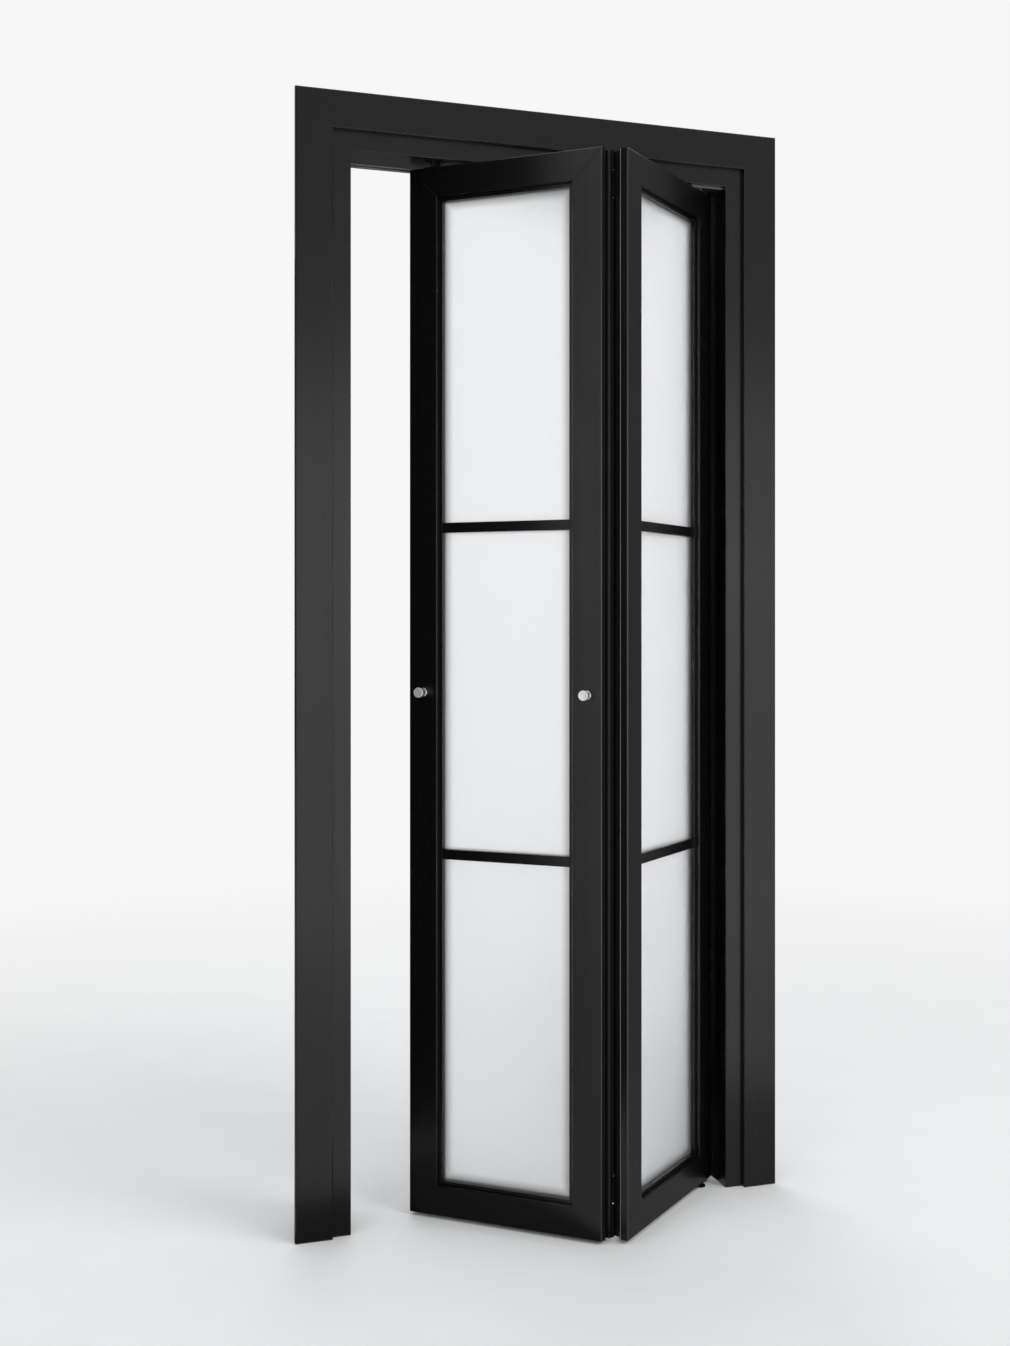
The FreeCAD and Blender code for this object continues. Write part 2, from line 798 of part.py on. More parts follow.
def build_roller_arm():
    """Build the arm on top of the left leaf that reaches back under the track."""
    body = new_body("roller_arm")
    sketch = new_sketch(body, "XY_Plane", "leaf_top")
    half_width = "roller_arm_width / 2"
    outline = rectangle(
        f"roller_inset - {half_width}",
        f"roller_inset + {half_width}",
        "roller_arm_front",
        f"roller_behind_front + {half_width}",
    )
    draw_outline(sketch, outline)
    draw_circle(sketch, "roller_inset", "roller_behind_front", "roller_stud_radius + fit_gap")
    plate = pad(body, sketch, "roller_arm_thickness")
    doc.recompute()

    def upright_corner(box):
        return near(box.XLength, 0) and near(box.YLength, 0) and box.ZLength > 1

    corners = body.newObject("PartDesign::Fillet", "roller_arm_corners")
    corners.Base = (plate, edges_where(plate.Shape, upright_corner))
    corners.setExpression("Radius", bound("roller_arm_round"))
    place_on_leaf(body, "left")


def build_roller_carriage():
    """Build the carriage in the track, with four wheels, a stud and its nut."""
    lip_top = "clear_height + track_wall"
    axle_height = f"{lip_top} + fit_gap + wheel_radius"
    chassis_foot = f"{axle_height} - carriage_height / 2"
    chassis_corner = ("-carriage_length / 2", "-carriage_width / 2", chassis_foot)
    chassis_size = ("carriage_length", "carriage_width", "carriage_height")
    solids = [new_box("chassis", chassis_corner, chassis_size)]
    reach = "carriage_width / 2 + fit_gap + wheel_width"
    for direction in (-1, 1):
        along = f"{direction} * wheel_spacing / 2"
        solids.append(new_axle("axle", along, reach, axle_height, "axle_radius", f"2 * ({reach})"))
        for wheel_start in (reach, "-(carriage_width / 2 + fit_gap)"):
            solids.append(new_axle("wheel", along, wheel_start, axle_height, "wheel_radius", "wheel_width"))
    nut_foot = "leaf_top - fit_gap - roller_nut_height"
    stud_height = f"{chassis_foot} - ({nut_foot}) + 1"
    solids.append(new_cylinder("stud", ("0", "0", nut_foot), "roller_stud_radius", stud_height))
    nut = doc.addObject("Part::Prism", "nut")
    nut.Polygon = 6
    nut.setExpression("Circumradius", bound("roller_nut_radius"))
    nut.setExpression("Height", bound("roller_nut_height"))
    nut.setExpression(".Placement.Base.z", bound(nut_foot))
    solids.append(nut)
    carriage = keep(fuse("roller_carriage", solids), "roller_carriage")
    place(carriage, "roller_x", "track_centre")


def new_axle(name, along, far_side, height, radius, length):
    """Make a level cylinder across the track, from its far side towards the room."""
    axle = doc.addObject("Part::Cylinder", name)
    level_turn = FreeCAD.Rotation(FreeCAD.Vector(1, 0, 0), 90)
    axle.Placement = FreeCAD.Placement(FreeCAD.Vector(), level_turn)
    for axis, text in zip("xyz", (along, far_side, height)):
        axle.setExpression(f".Placement.Base.{axis}", bound(text))
    axle.setExpression("Radius", bound(radius))
    axle.setExpression("Height", bound(length))
    return axle


def build_knob(end):
    """Build one turned knob on the middle of a stile of the left leaf."""
    body = new_body(f"{end}_knob")
    sketch = new_sketch(body, "XY_Plane")
    front = "-knob_length"
    neck = "-(knob_length - knob_head_thickness)"
    shoulder = f"{neck} + knob_round"
    draw_outline(sketch, [
        ("0", "0"),
        ("0", front),
        ("knob_radius - knob_round", front),
        ("knob_radius", f"{front} + knob_round"),
        ("knob_radius", neck),
        ("knob_waist_radius", f"{shoulder} + knob_round"),
        ("knob_waist_radius", "-2 * knob_base_thickness"),
        ("knob_base_radius", "-knob_base_thickness"),
        ("knob_base_radius", "0"),
    ])
    turning = body.newObject("PartDesign::Revolution", f"{end}_knob_turning")
    turning.Profile = sketch
    turning.ReferenceAxis = (sketch, ["V_Axis"])
    turning.Angle = 360
    along = from_end("left", end, "member_width / 2")
    place(
        body,
        f"left_leaf_x + ({along}) * cos(left_angle)",
        f"left_leaf_y - ({along}) * sin(left_angle)",
        "-(left_angle)",
    )
    body.setExpression(".Placement.Base.z", bound("floor_gap + knob_height"))


def build_ironmongery():
    """Build the hinges, pivots, roller and knobs."""
    for position in ("upper", "lower"):
        for leaf in ("left", "right"):
            build_hinge_half(leaf, position)
    build_hinge_pins()
    build_pivots()
    build_roller_arm()
    build_roller_carriage()
    for end in ("left", "right"):
        build_knob(end)


# Checks and writing


def check_document():
    """Stop when an object failed, a cut took nothing away or a shape is unsound."""
    for item in doc.Objects:
        states = getattr(item, "State", [])
        if "Invalid" in states or "Error" in states:
            raise RuntimeError(f"{item.Name} failed: {states}")
        if item.TypeId == "PartDesign::Pocket":
            before = item.BaseFeature.Shape.Volume
            if item.Shape.Volume > before - 1e-3:
                raise RuntimeError(f"{item.Name} cuts nothing")
    for sub_part in sub_parts:
        if sub_part.Shape.isNull() or not sub_part.Shape.isValid():
            raise RuntimeError(f"{sub_part.Label} has no sound shape")


def write_parts():
    """Write each sub-part to a file named after its label."""
    os.makedirs(WRITING_FOLDER, exist_ok=True)
    for sub_part in sub_parts:
        sub_part.Shape.exportStep(os.path.join(WRITING_FOLDER, f"{sub_part.Label}.step"))
        print(sub_part.Label, len(sub_part.Shape.Solids), round(sub_part.Shape.Volume / 1000, 1))


build_frame()
build_track()
build_leaves()
build_ironmongery()
doc.recompute()
check_document()
write_parts()
print("left leaf turned by", round(number("left_angle"), 2), "degrees")
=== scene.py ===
"""Dress a two-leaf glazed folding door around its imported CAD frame.

Metres. X runs to the right along the wall, Y away from the room and Z up. Each leaf
has a frame of its own: x along the leaf, y from its front face to its back face.
"""

import logging
import math
from dataclasses import dataclass, field
from enum import Enum
from typing import Callable, Iterable, Sequence

import bmesh
import bpy
from mathutils import Matrix, Vector


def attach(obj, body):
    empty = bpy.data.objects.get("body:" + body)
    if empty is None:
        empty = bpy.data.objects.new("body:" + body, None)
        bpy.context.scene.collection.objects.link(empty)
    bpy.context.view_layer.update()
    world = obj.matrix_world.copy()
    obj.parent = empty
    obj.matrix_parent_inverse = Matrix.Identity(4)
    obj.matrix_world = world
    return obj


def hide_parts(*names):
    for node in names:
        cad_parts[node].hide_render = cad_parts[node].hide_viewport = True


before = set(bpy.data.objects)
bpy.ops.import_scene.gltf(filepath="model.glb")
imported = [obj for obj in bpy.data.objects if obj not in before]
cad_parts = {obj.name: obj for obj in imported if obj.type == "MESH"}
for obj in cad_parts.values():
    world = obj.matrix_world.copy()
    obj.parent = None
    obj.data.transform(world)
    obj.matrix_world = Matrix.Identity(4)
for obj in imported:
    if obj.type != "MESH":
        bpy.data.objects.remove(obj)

LOG = logging.getLogger("folding_door")
MM = 0.001
ROOT = "root"
LEAVES = ("left", "right")
MERGE_DISTANCE = 0.00001

Point = tuple[float, float, float]
Pair = tuple[float, float]
Colour = tuple[float, float, float, float]
Shape = bmesh.types.BMesh
Socket = bpy.types.NodeSocket


class Slot(Enum):
    """Material slots of the record."""

    LACQUER = "black_lacquer"
    ALUMINIUM = "track_aluminium"
    STEEL = "plated_steel"
    CHROME = "bright_chrome"
    RUBBER = "black_rubber"


class Grain(Enum):
    """Direction in which the wood under the lacquer runs."""

    UPRIGHT = "upright"
    LEVEL = "level"


# Shared sizes


@dataclass(frozen=True)
class DoorPlan:
    """Hold the sizes that several pieces share, and where each leaf stands."""

    clear_width: float = 800 * MM
    clear_height: float = 2100 * MM
    jamb_thickness: float = 50 * MM
    end_gap: float = 2 * MM
    meeting_gap: float = 3 * MM
    floor_gap: float = 7 * MM
    head_gap: float = 8 * MM
    leaf_difference: float = 11 * MM
    leaf_thickness: float = 36 * MM
    leaf_setback: float = 20 * MM
    member_width: float = 60 * MM
    stop_width: float = 8 * MM
    glass_setback: float = 16 * MM
    glass_thickness: float = 4 * MM
    rebate_depth: float = 10 * MM
    pivot_inset: float = 45 * MM
    pivot_setback: float = 6 * MM
    track_centre: float = 95 * MM
    roller_inset: float = 40 * MM
    fold_angle: float = math.radians(40.4)

    @property
    def right_width(self) -> float:
        """Return the width of the right leaf."""
        running = 2 * self.end_gap + self.meeting_gap + self.leaf_difference
        return (self.clear_width - running) / 2

    @property
    def left_width(self) -> float:
        """Return the width of the left leaf."""
        return self.right_width + self.leaf_difference

    @property
    def leaf_top(self) -> float:
        """Return the height of the leaves' top edge."""
        return self.clear_height - self.head_gap

    @property
    def pivot(self) -> Pair:
        """Return the right leaf's pivot in plan."""
        x = self.jamb_thickness + self.clear_width - self.end_gap - self.pivot_inset
        return x, self.leaf_setback + self.pivot_setback

    @property
    def left_axis_along(self) -> float:
        """Return where the meeting hinges' axis lies along the left leaf."""
        return self.left_width + self.rebate_depth + self.meeting_gap / 2

    @property
    def right_axis_along(self) -> float:
        """Return where the meeting hinges' axis lies along the right leaf."""
        return self.rebate_depth - self.meeting_gap / 2

    def right_leaf(self) -> Matrix:
        """Work out the right leaf's place from its pivot.

        Returns:
            The matrix from the leaf's frame to the door's.
        """
        along = self.right_width - self.pivot_inset
        turn = Matrix.Rotation(self.fold_angle, 4, "Z")
        local = turn @ Vector((along, self.pivot_setback, 0.0))
        x, y = self.pivot
        return Matrix.Translation((x - local.x, y - local.y, 0.0)) @ turn

    def hinge_axis(self) -> Vector:
        """Return the meeting hinges' axis in plan."""
        return self.right_leaf() @ Vector((self.right_axis_along, self.leaf_thickness, 0.0))

    def left_angle(self) -> float:
        """Work out the left leaf's turn.

        Returns:
            The angle that puts its roller on the track's centre line.
        """
        span = self.left_axis_along - self.roller_inset
        behind = self.track_centre - self.leaf_setback - self.leaf_thickness
        rise = self.track_centre - self.hinge_axis().y
        return math.asin(rise / math.hypot(span, behind)) - math.atan(behind / span)

    def left_leaf(self) -> Matrix:
        """Work out the left leaf's place from the meeting hinges.

        Returns:
            The matrix from the leaf's frame to the door's.
        """
        turn = Matrix.Rotation(-self.left_angle(), 4, "Z")
        axis = self.hinge_axis()
        local = turn @ Vector((self.left_axis_along, self.leaf_thickness, 0.0))
        return Matrix.Translation((axis.x - local.x, axis.y - local.y, 0.0)) @ turn

    def leaf(self, side: str) -> Matrix:
        """Return the place of the leaf on a side.

        Args:
            side: "left" or "right".

        Returns:
            The matrix from the leaf's frame to the door's.
        """
        return self.left_leaf() if side == "left" else self.right_leaf()

    def width(self, side: str) -> float:
        """Return the width of the leaf on a side."""
        return self.left_width if side == "left" else self.right_width

    def turn(self, side: str) -> float:
        """Return the turn about Z of the leaf on a side."""
        return -self.left_angle() if side == "left" else self.fold_angle


PLAN = DoorPlan()


# Node trees


class NodeSheet:
    """Write a node tree with short calls."""

    def __init__(self, tree: bpy.types.NodeTree) -> None:
        """Keep the tree that is written."""
        self.tree = tree

    def add(self, kind: str, inputs: dict | None = None, **settings: object) -> bpy.types.Node:
        """Add a node.

        Args:
            kind: The node's type name.
            inputs: Values of sockets by name or index, or output sockets to link to them.
            settings: Properties of the node itself.

        Returns:
            The new node.
        """
        node = self.tree.nodes.new(kind)
        for name, value in settings.items():
            setattr(node, name, value)
        for key, value in (inputs or {}).items():
            socket = node.inputs[key]
            if isinstance(value, Socket):
                self.tree.links.new(value, socket)
            else:
                socket.default_value = value
        return node

    def link(self, source: Socket, target: Socket) -> None:
        """Link an output to an input."""
        self.tree.links.new(source, target)

    def places(self) -> Socket:
        """Return the object's own coordinates."""
        return self.add("ShaderNodeTexCoord").outputs["Object"]

    def noise(
        self, places: Socket, scale: float, detail: float, roughness: float = 0.5
    ) -> Socket:
        """Return a noise pattern.

        Args:
            places: Coordinates that it reads.
            scale: Its scale.
            detail: How many finer layers it has.
            roughness: How strong they are.

        Returns:
            The pattern, from 0 to 1.
        """
        inputs = {"Vector": places, "Scale": scale, "Detail": detail, "Roughness": roughness}
        return self.add("ShaderNodeTexNoise", inputs).outputs["Fac"]

    def maths(self, operation: str, first: Socket | float, second: Socket | float) -> Socket:
        """Return what an operation makes of two numbers."""
        node = self.add("ShaderNodeMath", {0: first, 1: second}, operation=operation)
        return node.outputs["Value"]

    def remap(
        self,
        value: Socket,
        source: Pair = (0.0, 1.0),
        target: Pair = (0.0, 1.0),
        ease: str = "LINEAR",
    ) -> Socket:
        """Carry a number from one span to another.

        Args:
            value: The number.
            source: The span that it comes from.
            target: The span that it goes to.
            ease: How it passes from end to end.

        Returns:
            The carried number.
        """
        inputs = {
            "Value": value,
            "From Min": source[0],
            "From Max": source[1],
            "To Min": target[0],
            "To Max": target[1],
        }
        return self.add("ShaderNodeMapRange", inputs, interpolation_type=ease).outputs["Result"]

    def blend(self, share: Socket, first: Colour, second: Colour) -> Socket:
        """Return a colour between two."""
        node = self.add("ShaderNodeMix", {"Factor": share, 6: first, 7: second}, data_type="RGBA")
        return node.outputs[2]

    def bump(
        self, height: Socket, strength: float, distance: float, under: Socket | None = None
    ) -> Socket:
        """Bend the normals by a pattern.

        Args:
            height: The pattern.
            strength: How much of it counts.
            distance: Its height in metres.
            under: Normals that it is laid on.

        Returns:
            The bent normals.
        """
        inputs = {"Strength": strength, "Distance": distance, "Height": height}
        if under is not None:
            inputs["Normal"] = under
        return self.add("ShaderNodeBump", inputs).outputs["Normal"]

    def surface(self, inputs: dict) -> None:
        """End a material's tree with a surface of these inputs."""
        self.close(self.add("ShaderNodeBsdfPrincipled", inputs).outputs["BSDF"])

    def close(self, shader: Socket) -> None:
        """End a material's tree with a shader."""
        self.add("ShaderNodeOutputMaterial", {"Surface": shader})


def new_material(name: str) -> tuple[bpy.types.Material, NodeSheet]:
    """Start a node material.

    Args:
        name: The material's name.

    Returns:
        The material and its empty sheet.
    """
    material = bpy.data.materials.new(name)
    material.use_nodes = True
    material.node_tree.nodes.clear()
    return material, NodeSheet(material.node_tree)


def geometry_tree(
    name: str, inputs: dict[str, str], output: str
) -> tuple[bpy.types.NodeTree, NodeSheet, bpy.types.bpy_prop_collection]:
    """Start a Geometry Nodes tree.

    Args:
        name: The tree's name.
        inputs: The kind of each input, by the input's name.
        output: Name of the geometry that it returns.

    Returns:
        The tree, its sheet and the sockets that bring the inputs.
    """
    tree = bpy.data.node_groups.new(name, "GeometryNodeTree")
    for label, kind in inputs.items():
        tree.interface.new_socket(label, in_out="INPUT", socket_type=f"NodeSocket{kind}")
    tree.interface.new_socket(output, in_out="OUTPUT", socket_type="NodeSocketGeometry")
    sheet = NodeSheet(tree)
    return tree, sheet, sheet.add("NodeGroupInput").outputs


def close_geometry(sheet: NodeSheet, geometry: Socket, finish: Socket) -> None:
    """End a Geometry Nodes tree with plain meshes in one material.

    Args:
        sheet: The tree that is written.
        geometry: What it has made.
        finish: The material.
    """
    real = sheet.add("GeometryNodeRealizeInstances", {"Geometry": geometry}).outputs["Geometry"]
    dressed = sheet.add("GeometryNodeSetMaterial", {"Geometry": real, "Material": finish})
    sheet.add("NodeGroupOutput", {0: dressed.outputs["Geometry"]})


def grey(level: float) -> Colour:
    """Return a neutral colour."""
    return level, level, level, 1.0


# Finishes


@dataclass(frozen=True)
class Lacquer:
    """Satin black lacquer over close-grained wood."""

    name: str
    grain: Grain
    turn: float = 0.0
    dark: Colour = (0.0022, 0.0022, 0.0023, 1.0)
    light: Colour = (0.0044, 0.0043, 0.0044, 1.0)
    smooth: float = 0.2
    rough: float = 0.3
    specular: float = 0.8
    across_scale: float = 55.0
    along_scale: float = 1.1
    cloud_scale: float = 3.2
    shade_span: Pair = (0.12, 0.42)
    sheen_span: Pair = (0.1, 0.45)
    pore_scale: float = 420.0
    pore_along: float = 9.0
    pore_bump: Pair = (0.1, 0.1 * MM)
    peel_scale: float = 650.0
    peel_bump: Pair = (0.12, 0.08 * MM)

    def material(self) -> bpy.types.Material:
        """Build the finish.

        Returns:
            Its material.
        """
        material, sheet = new_material(self.name)
        places = sheet.add(
            "ShaderNodeMapping",
            {"Vector": sheet.places(), "Rotation": (0.0, 0.0, -self.turn)},
        ).outputs["Vector"]
        figure = self.stretched(sheet, places, self.across_scale, self.along_scale)
        streaks = sheet.noise(figure, 1.0, 5.0, 0.6)
        clouds = sheet.noise(places, self.cloud_scale, 3.0)
        both = sheet.maths("MULTIPLY", streaks, clouds)
        shade = sheet.remap(both, self.shade_span)
        fine = self.stretched(sheet, places, self.pore_scale, self.pore_along)
        grained = sheet.bump(sheet.noise(fine, 1.0, 3.0), *self.pore_bump)
        peel = sheet.noise(places, self.peel_scale, 1.0)
        sheet.surface({
            "Base Color": sheet.blend(shade, self.dark, self.light),
            "Roughness": sheet.remap(both, self.sheen_span, (self.rough, self.smooth)),
            "Specular IOR Level": self.specular,
            "Normal": sheet.bump(peel, *self.peel_bump, grained),
        })
        return material

    def stretched(
        self, sheet: NodeSheet, places: Socket, across: float, along: float
    ) -> Socket:
        """Stretch a pattern's coordinates along the grain.

        Args:
            sheet: The tree that is written.
            places: Coordinates with X along the leaf or wall.
            across: Scale across the grain.
            along: Scale along the grain.

        Returns:
            The stretched coordinates.
        """
        if self.grain is Grain.UPRIGHT:
            scale = (across, across, along)
        else:
            scale = (along, across, across)
        return sheet.add("ShaderNodeMapping", {"Vector": places, "Scale": scale}).outputs["Vector"]


@dataclass(frozen=True)
class FrostedGlass:
    """White acid-etched glass, a little darker along the beads that shade it."""

    side: str
    tint: Colour = (0.985, 0.99, 1.0, 1.0)
    shaded: Colour = (0.55, 0.555, 0.56, 1.0)
    shade_width: float = 22 * MM
    etch_scale: float = 1400.0
    etch_bump: Pair = (0.1, 0.05 * MM)
    mist_scale: float = 2.5
    roughness: Pair = (0.76, 0.86)
    transmission: float = 0.88
    bending: float = 1.3

    def edge_distance(self, sheet: NodeSheet) -> Socket:
        """Return how far a point of the sheet lies from the nearest glazing stop.

        Args:
            sheet: The tree that is written.

        Returns:
            The distance in metres.
        """
        along = sheet.add(
            "ShaderNodeMapping",
            {
                "Vector": sheet.places(),
                "Location": PLAN.leaf(self.side).translation,
                "Rotation": (0.0, 0.0, PLAN.turn(self.side)),
            },
            vector_type="TEXTURE",
        ).outputs["Vector"]
        split = sheet.add("ShaderNodeSeparateXYZ", {"Vector": along})
        reach = PLAN.member_width + PLAN.stop_width
        bounds = {
            "X": (reach, PLAN.width(self.side) - reach),
            "Z": (PLAN.floor_gap + reach, PLAN.leaf_top - reach),
        }
        distances = []
        for axis, (low, high) in bounds.items():
            place = split.outputs[axis]
            distances.append(sheet.maths("SUBTRACT", place, low))
            distances.append(sheet.maths("SUBTRACT", high, place))
        nearest = distances[0]
        for distance in distances[1:]:
            nearest = sheet.maths("MINIMUM", distance, nearest)
        return nearest

    def material(self) -> bpy.types.Material:
        """Build the finish.

        Returns:
            Its material.
        """
        material, sheet = new_material(f"etched_white_glass_{self.side}")
        etch = sheet.noise(sheet.places(), self.etch_scale, 2.0)
        mist = sheet.noise(sheet.places(), self.mist_scale, 2.0)
        clear = sheet.remap(
            self.edge_distance(sheet), (0.0, self.shade_width), ease="SMOOTHSTEP"
        )
        # The base colour greys within shade_width of the stops: painted shade from the beads.
        sheet.surface({
            "Base Color": sheet.blend(clear, self.shaded, self.tint),
            "Roughness": sheet.remap(mist, target=self.roughness),
            "Transmission Weight": self.transmission,
            "IOR": self.bending,
            "Normal": sheet.bump(etch, *self.etch_bump),
        })
        return material


@dataclass(frozen=True)
class BrushedMetal:
    """Metal with fine scratches along one axis and a little clouding."""

    name: str
    colour: Colour
    rough: float
    spread: float = 0.08
    scratch_scale: Point = (14.0, 900.0, 900.0)
    bump: float = 0.1
    metallic: float = 1.0
    bump_height: float = 0.05 * MM
    cloud_scale: float = 35.0
    cloud_span: Pair = (0.82, 1.06)

    def material(self) -> bpy.types.Material:
        """Build the finish.

        Returns:
            Its material.
        """
        material, sheet = new_material(self.name)
        places = sheet.places()
        stretched = sheet.add(
            "ShaderNodeMapping", {"Vector": places, "Scale": self.scratch_scale}
        ).outputs["Vector"]
        scratches = sheet.noise(stretched, 1.0, 4.0)
        clouds = sheet.noise(places, self.cloud_scale, 2.0)
        shade = sheet.remap(clouds, target=self.cloud_span)
        colour = sheet.add(
            "ShaderNodeVectorMath", {0: self.colour[:3], "Scale": shade}, operation="SCALE"
        ).outputs["Vector"]
        reach = (self.rough - self.spread, self.rough + self.spread)
        sheet.surface({
            "Base Color": colour,
            "Metallic": self.metallic,
            "Roughness": sheet.remap(scratches, target=reach),
            "Normal": sheet.bump(scratches, self.bump, self.bump_height),
        })
        return material


@dataclass(frozen=True)
class Rubber:
    """Matt black extruded rubber with a faint bloom."""

    name: str = "extruded_rubber"
    dark: Colour = grey(0.002)
    light: Colour = grey(0.006)
    bloom_scale: float = 40.0
    bloom_bump: Pair = (0.2, 0.1 * MM)
    roughness: float = 0.6
    specular: float = 0.2

    def material(self) -> bpy.types.Material:
        """Build the finish.

        Returns:
            Its material.
        """
        material, sheet = new_material(self.name)
        bloom = sheet.noise(sheet.places(), self.bloom_scale, 4.0)
        sheet.surface({
            "Base Color": sheet.blend(bloom, self.dark, self.light),
            "Roughness": self.roughness,
            "Specular IOR Level": self.specular,
            "Normal": sheet.bump(bloom, *self.bloom_bump),
        })
        return material


@dataclass
class Finishes:
    """Make each finish of the door once."""

    upright: bpy.types.Material = field(init=False)
    level: bpy.types.Material = field(init=False)
    reveal: bpy.types.Material = field(init=False)
    reveal_level: bpy.types.Material = field(init=False)
    leaf_level: dict = field(init=False)
    leaf_upright: dict = field(init=False)
    painted_highlights: dict = field(init=False)
    glass: dict = field(init=False)
    aluminium: bpy.types.Material = field(init=False)
    steel: bpy.types.Material = field(init=False)
    dark_steel: bpy.types.Material = field(init=False)
    chrome: bpy.types.Material = field(init=False)
    polished: bpy.types.Material = field(init=False)
    rubber: bpy.types.Material = field(init=False)
    nylon: bpy.types.Material = field(init=False)

    def __post_init__(self) -> None:
        """Build the materials."""
        jamb_shine, leaf_shine = 0.86, 0.58
        self.upright = Lacquer("lacquer_upright", Grain.UPRIGHT).material()
        self.level = Lacquer("lacquer_level", Grain.LEVEL).material()
        self.reveal = Lacquer("lacquer_jamb_upright", Grain.UPRIGHT, specular=jamb_shine).material()
        self.reveal_level = Lacquer(
            "lacquer_jamb_level", Grain.LEVEL, specular=jamb_shine
        ).material()
        self.leaf_upright = {
            side: Lacquer(
                f"lacquer_{side}_stiles", Grain.UPRIGHT, PLAN.turn(side), specular=leaf_shine
            ).material()
            for side in LEAVES
        }
        self.leaf_level = {
            side: Lacquer(
                f"lacquer_{side}_rails", Grain.LEVEL, PLAN.turn(side), specular=leaf_shine
            ).material()
            for side in LEAVES
        }
        # Paler lacquers for the meeting arrises and the right leaf's lip: painted highlights where
        # those edges would catch the light.
        self.painted_highlights = {
            side: [self.highlight_lacquer(side, "arris_painted_highlight", 0.025, 0.04)] for side in LEAVES
        }
        self.painted_highlights["right"].append(self.highlight_lacquer("right", "lip_painted_highlight", 0.34, 0.48))
        self.glass = {side: FrostedGlass(side).material() for side in LEAVES}
        self.aluminium = BrushedMetal("mill_aluminium", (0.56, 0.57, 0.58, 1.0), 0.36).material()
        self.steel = BrushedMetal("zinc_plated_steel", (0.5, 0.5, 0.49, 1.0), 0.3).material()
        blackened = (0.022, 0.022, 0.023, 1.0)
        self.dark_steel = BrushedMetal("blackened_steel", blackened, 0.48).material()
        self.chrome = self.chromed("satin_chrome", 0.22, 0.58)
        self.polished = self.chromed("polished_chrome", 0.14, 0.9)
        self.rubber = Rubber().material()
        self.nylon = Rubber("black_nylon").material()

    def chromed(self, name: str, rough: float, metallic: float) -> bpy.types.Material:
        """Return one of the knobs' two finishes.

        Args:
            name: What the finish is called.
            rough: Its roughness.
            metallic: How much of it is bare metal, and not a satin bloom.

        Returns:
            The material.
        """
        return BrushedMetal(
            name,
            grey(0.93),
            rough,
            spread=0.04,
            scratch_scale=(60.0, 60.0, 60.0),
            bump=0.02,
            metallic=metallic,
        ).material()

    def highlight_lacquer(self, side: str, name: str, dark: float, light: float) -> bpy.types.Material:
        """Return the paler lacquer that paints a highlight along a leaf's arris.

        Args:
            side: The leaf.
            name: What the finish is called.
            dark: Its darker grey.
            light: Its lighter grey.

        Returns:
            The material.
        """
        label = f"lacquer_{side}_{name}"
        return Lacquer(label, Grain.UPRIGHT, PLAN.turn(side), grey(dark), grey(light)).material()


# Meshes


def clean_normals(shape: Shape) -> None:
    """Merge doubled points and turn every face outwards."""
    bmesh.ops.remove_doubles(shape, verts=shape.verts, dist=MERGE_DISTANCE)
    bmesh.ops.recalc_face_normals(shape, faces=shape.faces)


def linked(name: str, data: bpy.types.ID) -> bpy.types.Object:
    """Make an object of some data and link it to the scene.

    Args:
        name: The object's name.
        data: Its mesh, camera or lamp.

    Returns:
        The new object.
    """
    piece = bpy.data.objects.new(name, data)
    bpy.context.scene.collection.objects.link(piece)
    return piece


def as_object(
    name: str,
    shape: Shape,
    material: bpy.types.Material | None = None,
    place: Matrix | None = None,
) -> bpy.types.Object:
    """Turn a shape into an object at the origin.

    Args:
        name: The piece's name.
        shape: The shape, which is freed.
        material: Its finish.
        place: A matrix for its points.

    Returns:
        The linked object.
    """
    if place is not None:
        shape.transform(place)
    mesh = bpy.data.meshes.new(name)
    shape.to_mesh(mesh)
    shape.free()
    mesh.materials.append(material)
    return linked(name, mesh)


def evaluated_mesh(piece: bpy.types.Object) -> bpy.types.Mesh:
    """Copy an object's mesh with its modifiers carried out.

    Args:
        piece: The object.

    Returns:
        The copy.
    """
    bpy.context.view_layer.update()
    graph = bpy.context.evaluated_depsgraph_get()
    return bpy.data.meshes.new_from_object(piece.evaluated_get(graph))


def hand_over(piece: bpy.types.Object, replaced: Iterable[str] = ()) -> None:
    """Let a finished piece ride on the door and stand for its nodes.

    Args:
        piece: The finished piece.
        replaced: CAD nodes that it stands for.
    """
    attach(piece, ROOT)
    nodes = list(replaced)
    if nodes:
        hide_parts(*nodes)
    LOG.info("%s: %d faces", piece.name, len(piece.data.polygons))


def node_shape(node: str) -> Shape:
    """Copy a CAD node's mesh, merged and with its flat faces joined.

    Args:
        node: The node's name.

    Returns:
        The copy.
    """
    shape = bmesh.new()
    shape.from_mesh(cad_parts[node].data)
    flat = math.radians(1.0)
    bmesh.ops.remove_doubles(shape, verts=shape.verts, dist=MERGE_DISTANCE)
    bmesh.ops.dissolve_limit(shape, angle_limit=flat, verts=shape.verts, edges=shape.edges)
    return shape


def soften(shape: Shape, width: float, shortest: float = 3 * MM) -> None:
    """Round the outer edges of a shape.

    Args:
        shape: The shape to change.
        width: Width of the rounding.
        shortest: Edges shorter than this are left.
    """
    sharp = math.radians(28.0)
    chosen = [
        edge
        for edge in shape.edges
        if len(edge.link_faces) == 2
        and edge.is_convex
        and edge.calc_length() > shortest
        and edge.calc_face_angle(0.0) > sharp
    ]
    bmesh.ops.bevel(
        shape,
        geom=chosen,
        offset=width,
        offset_type="OFFSET",
        segments=2,
        profile=0.5,
        affect="EDGES",
        clamp_overlap=True,
    )


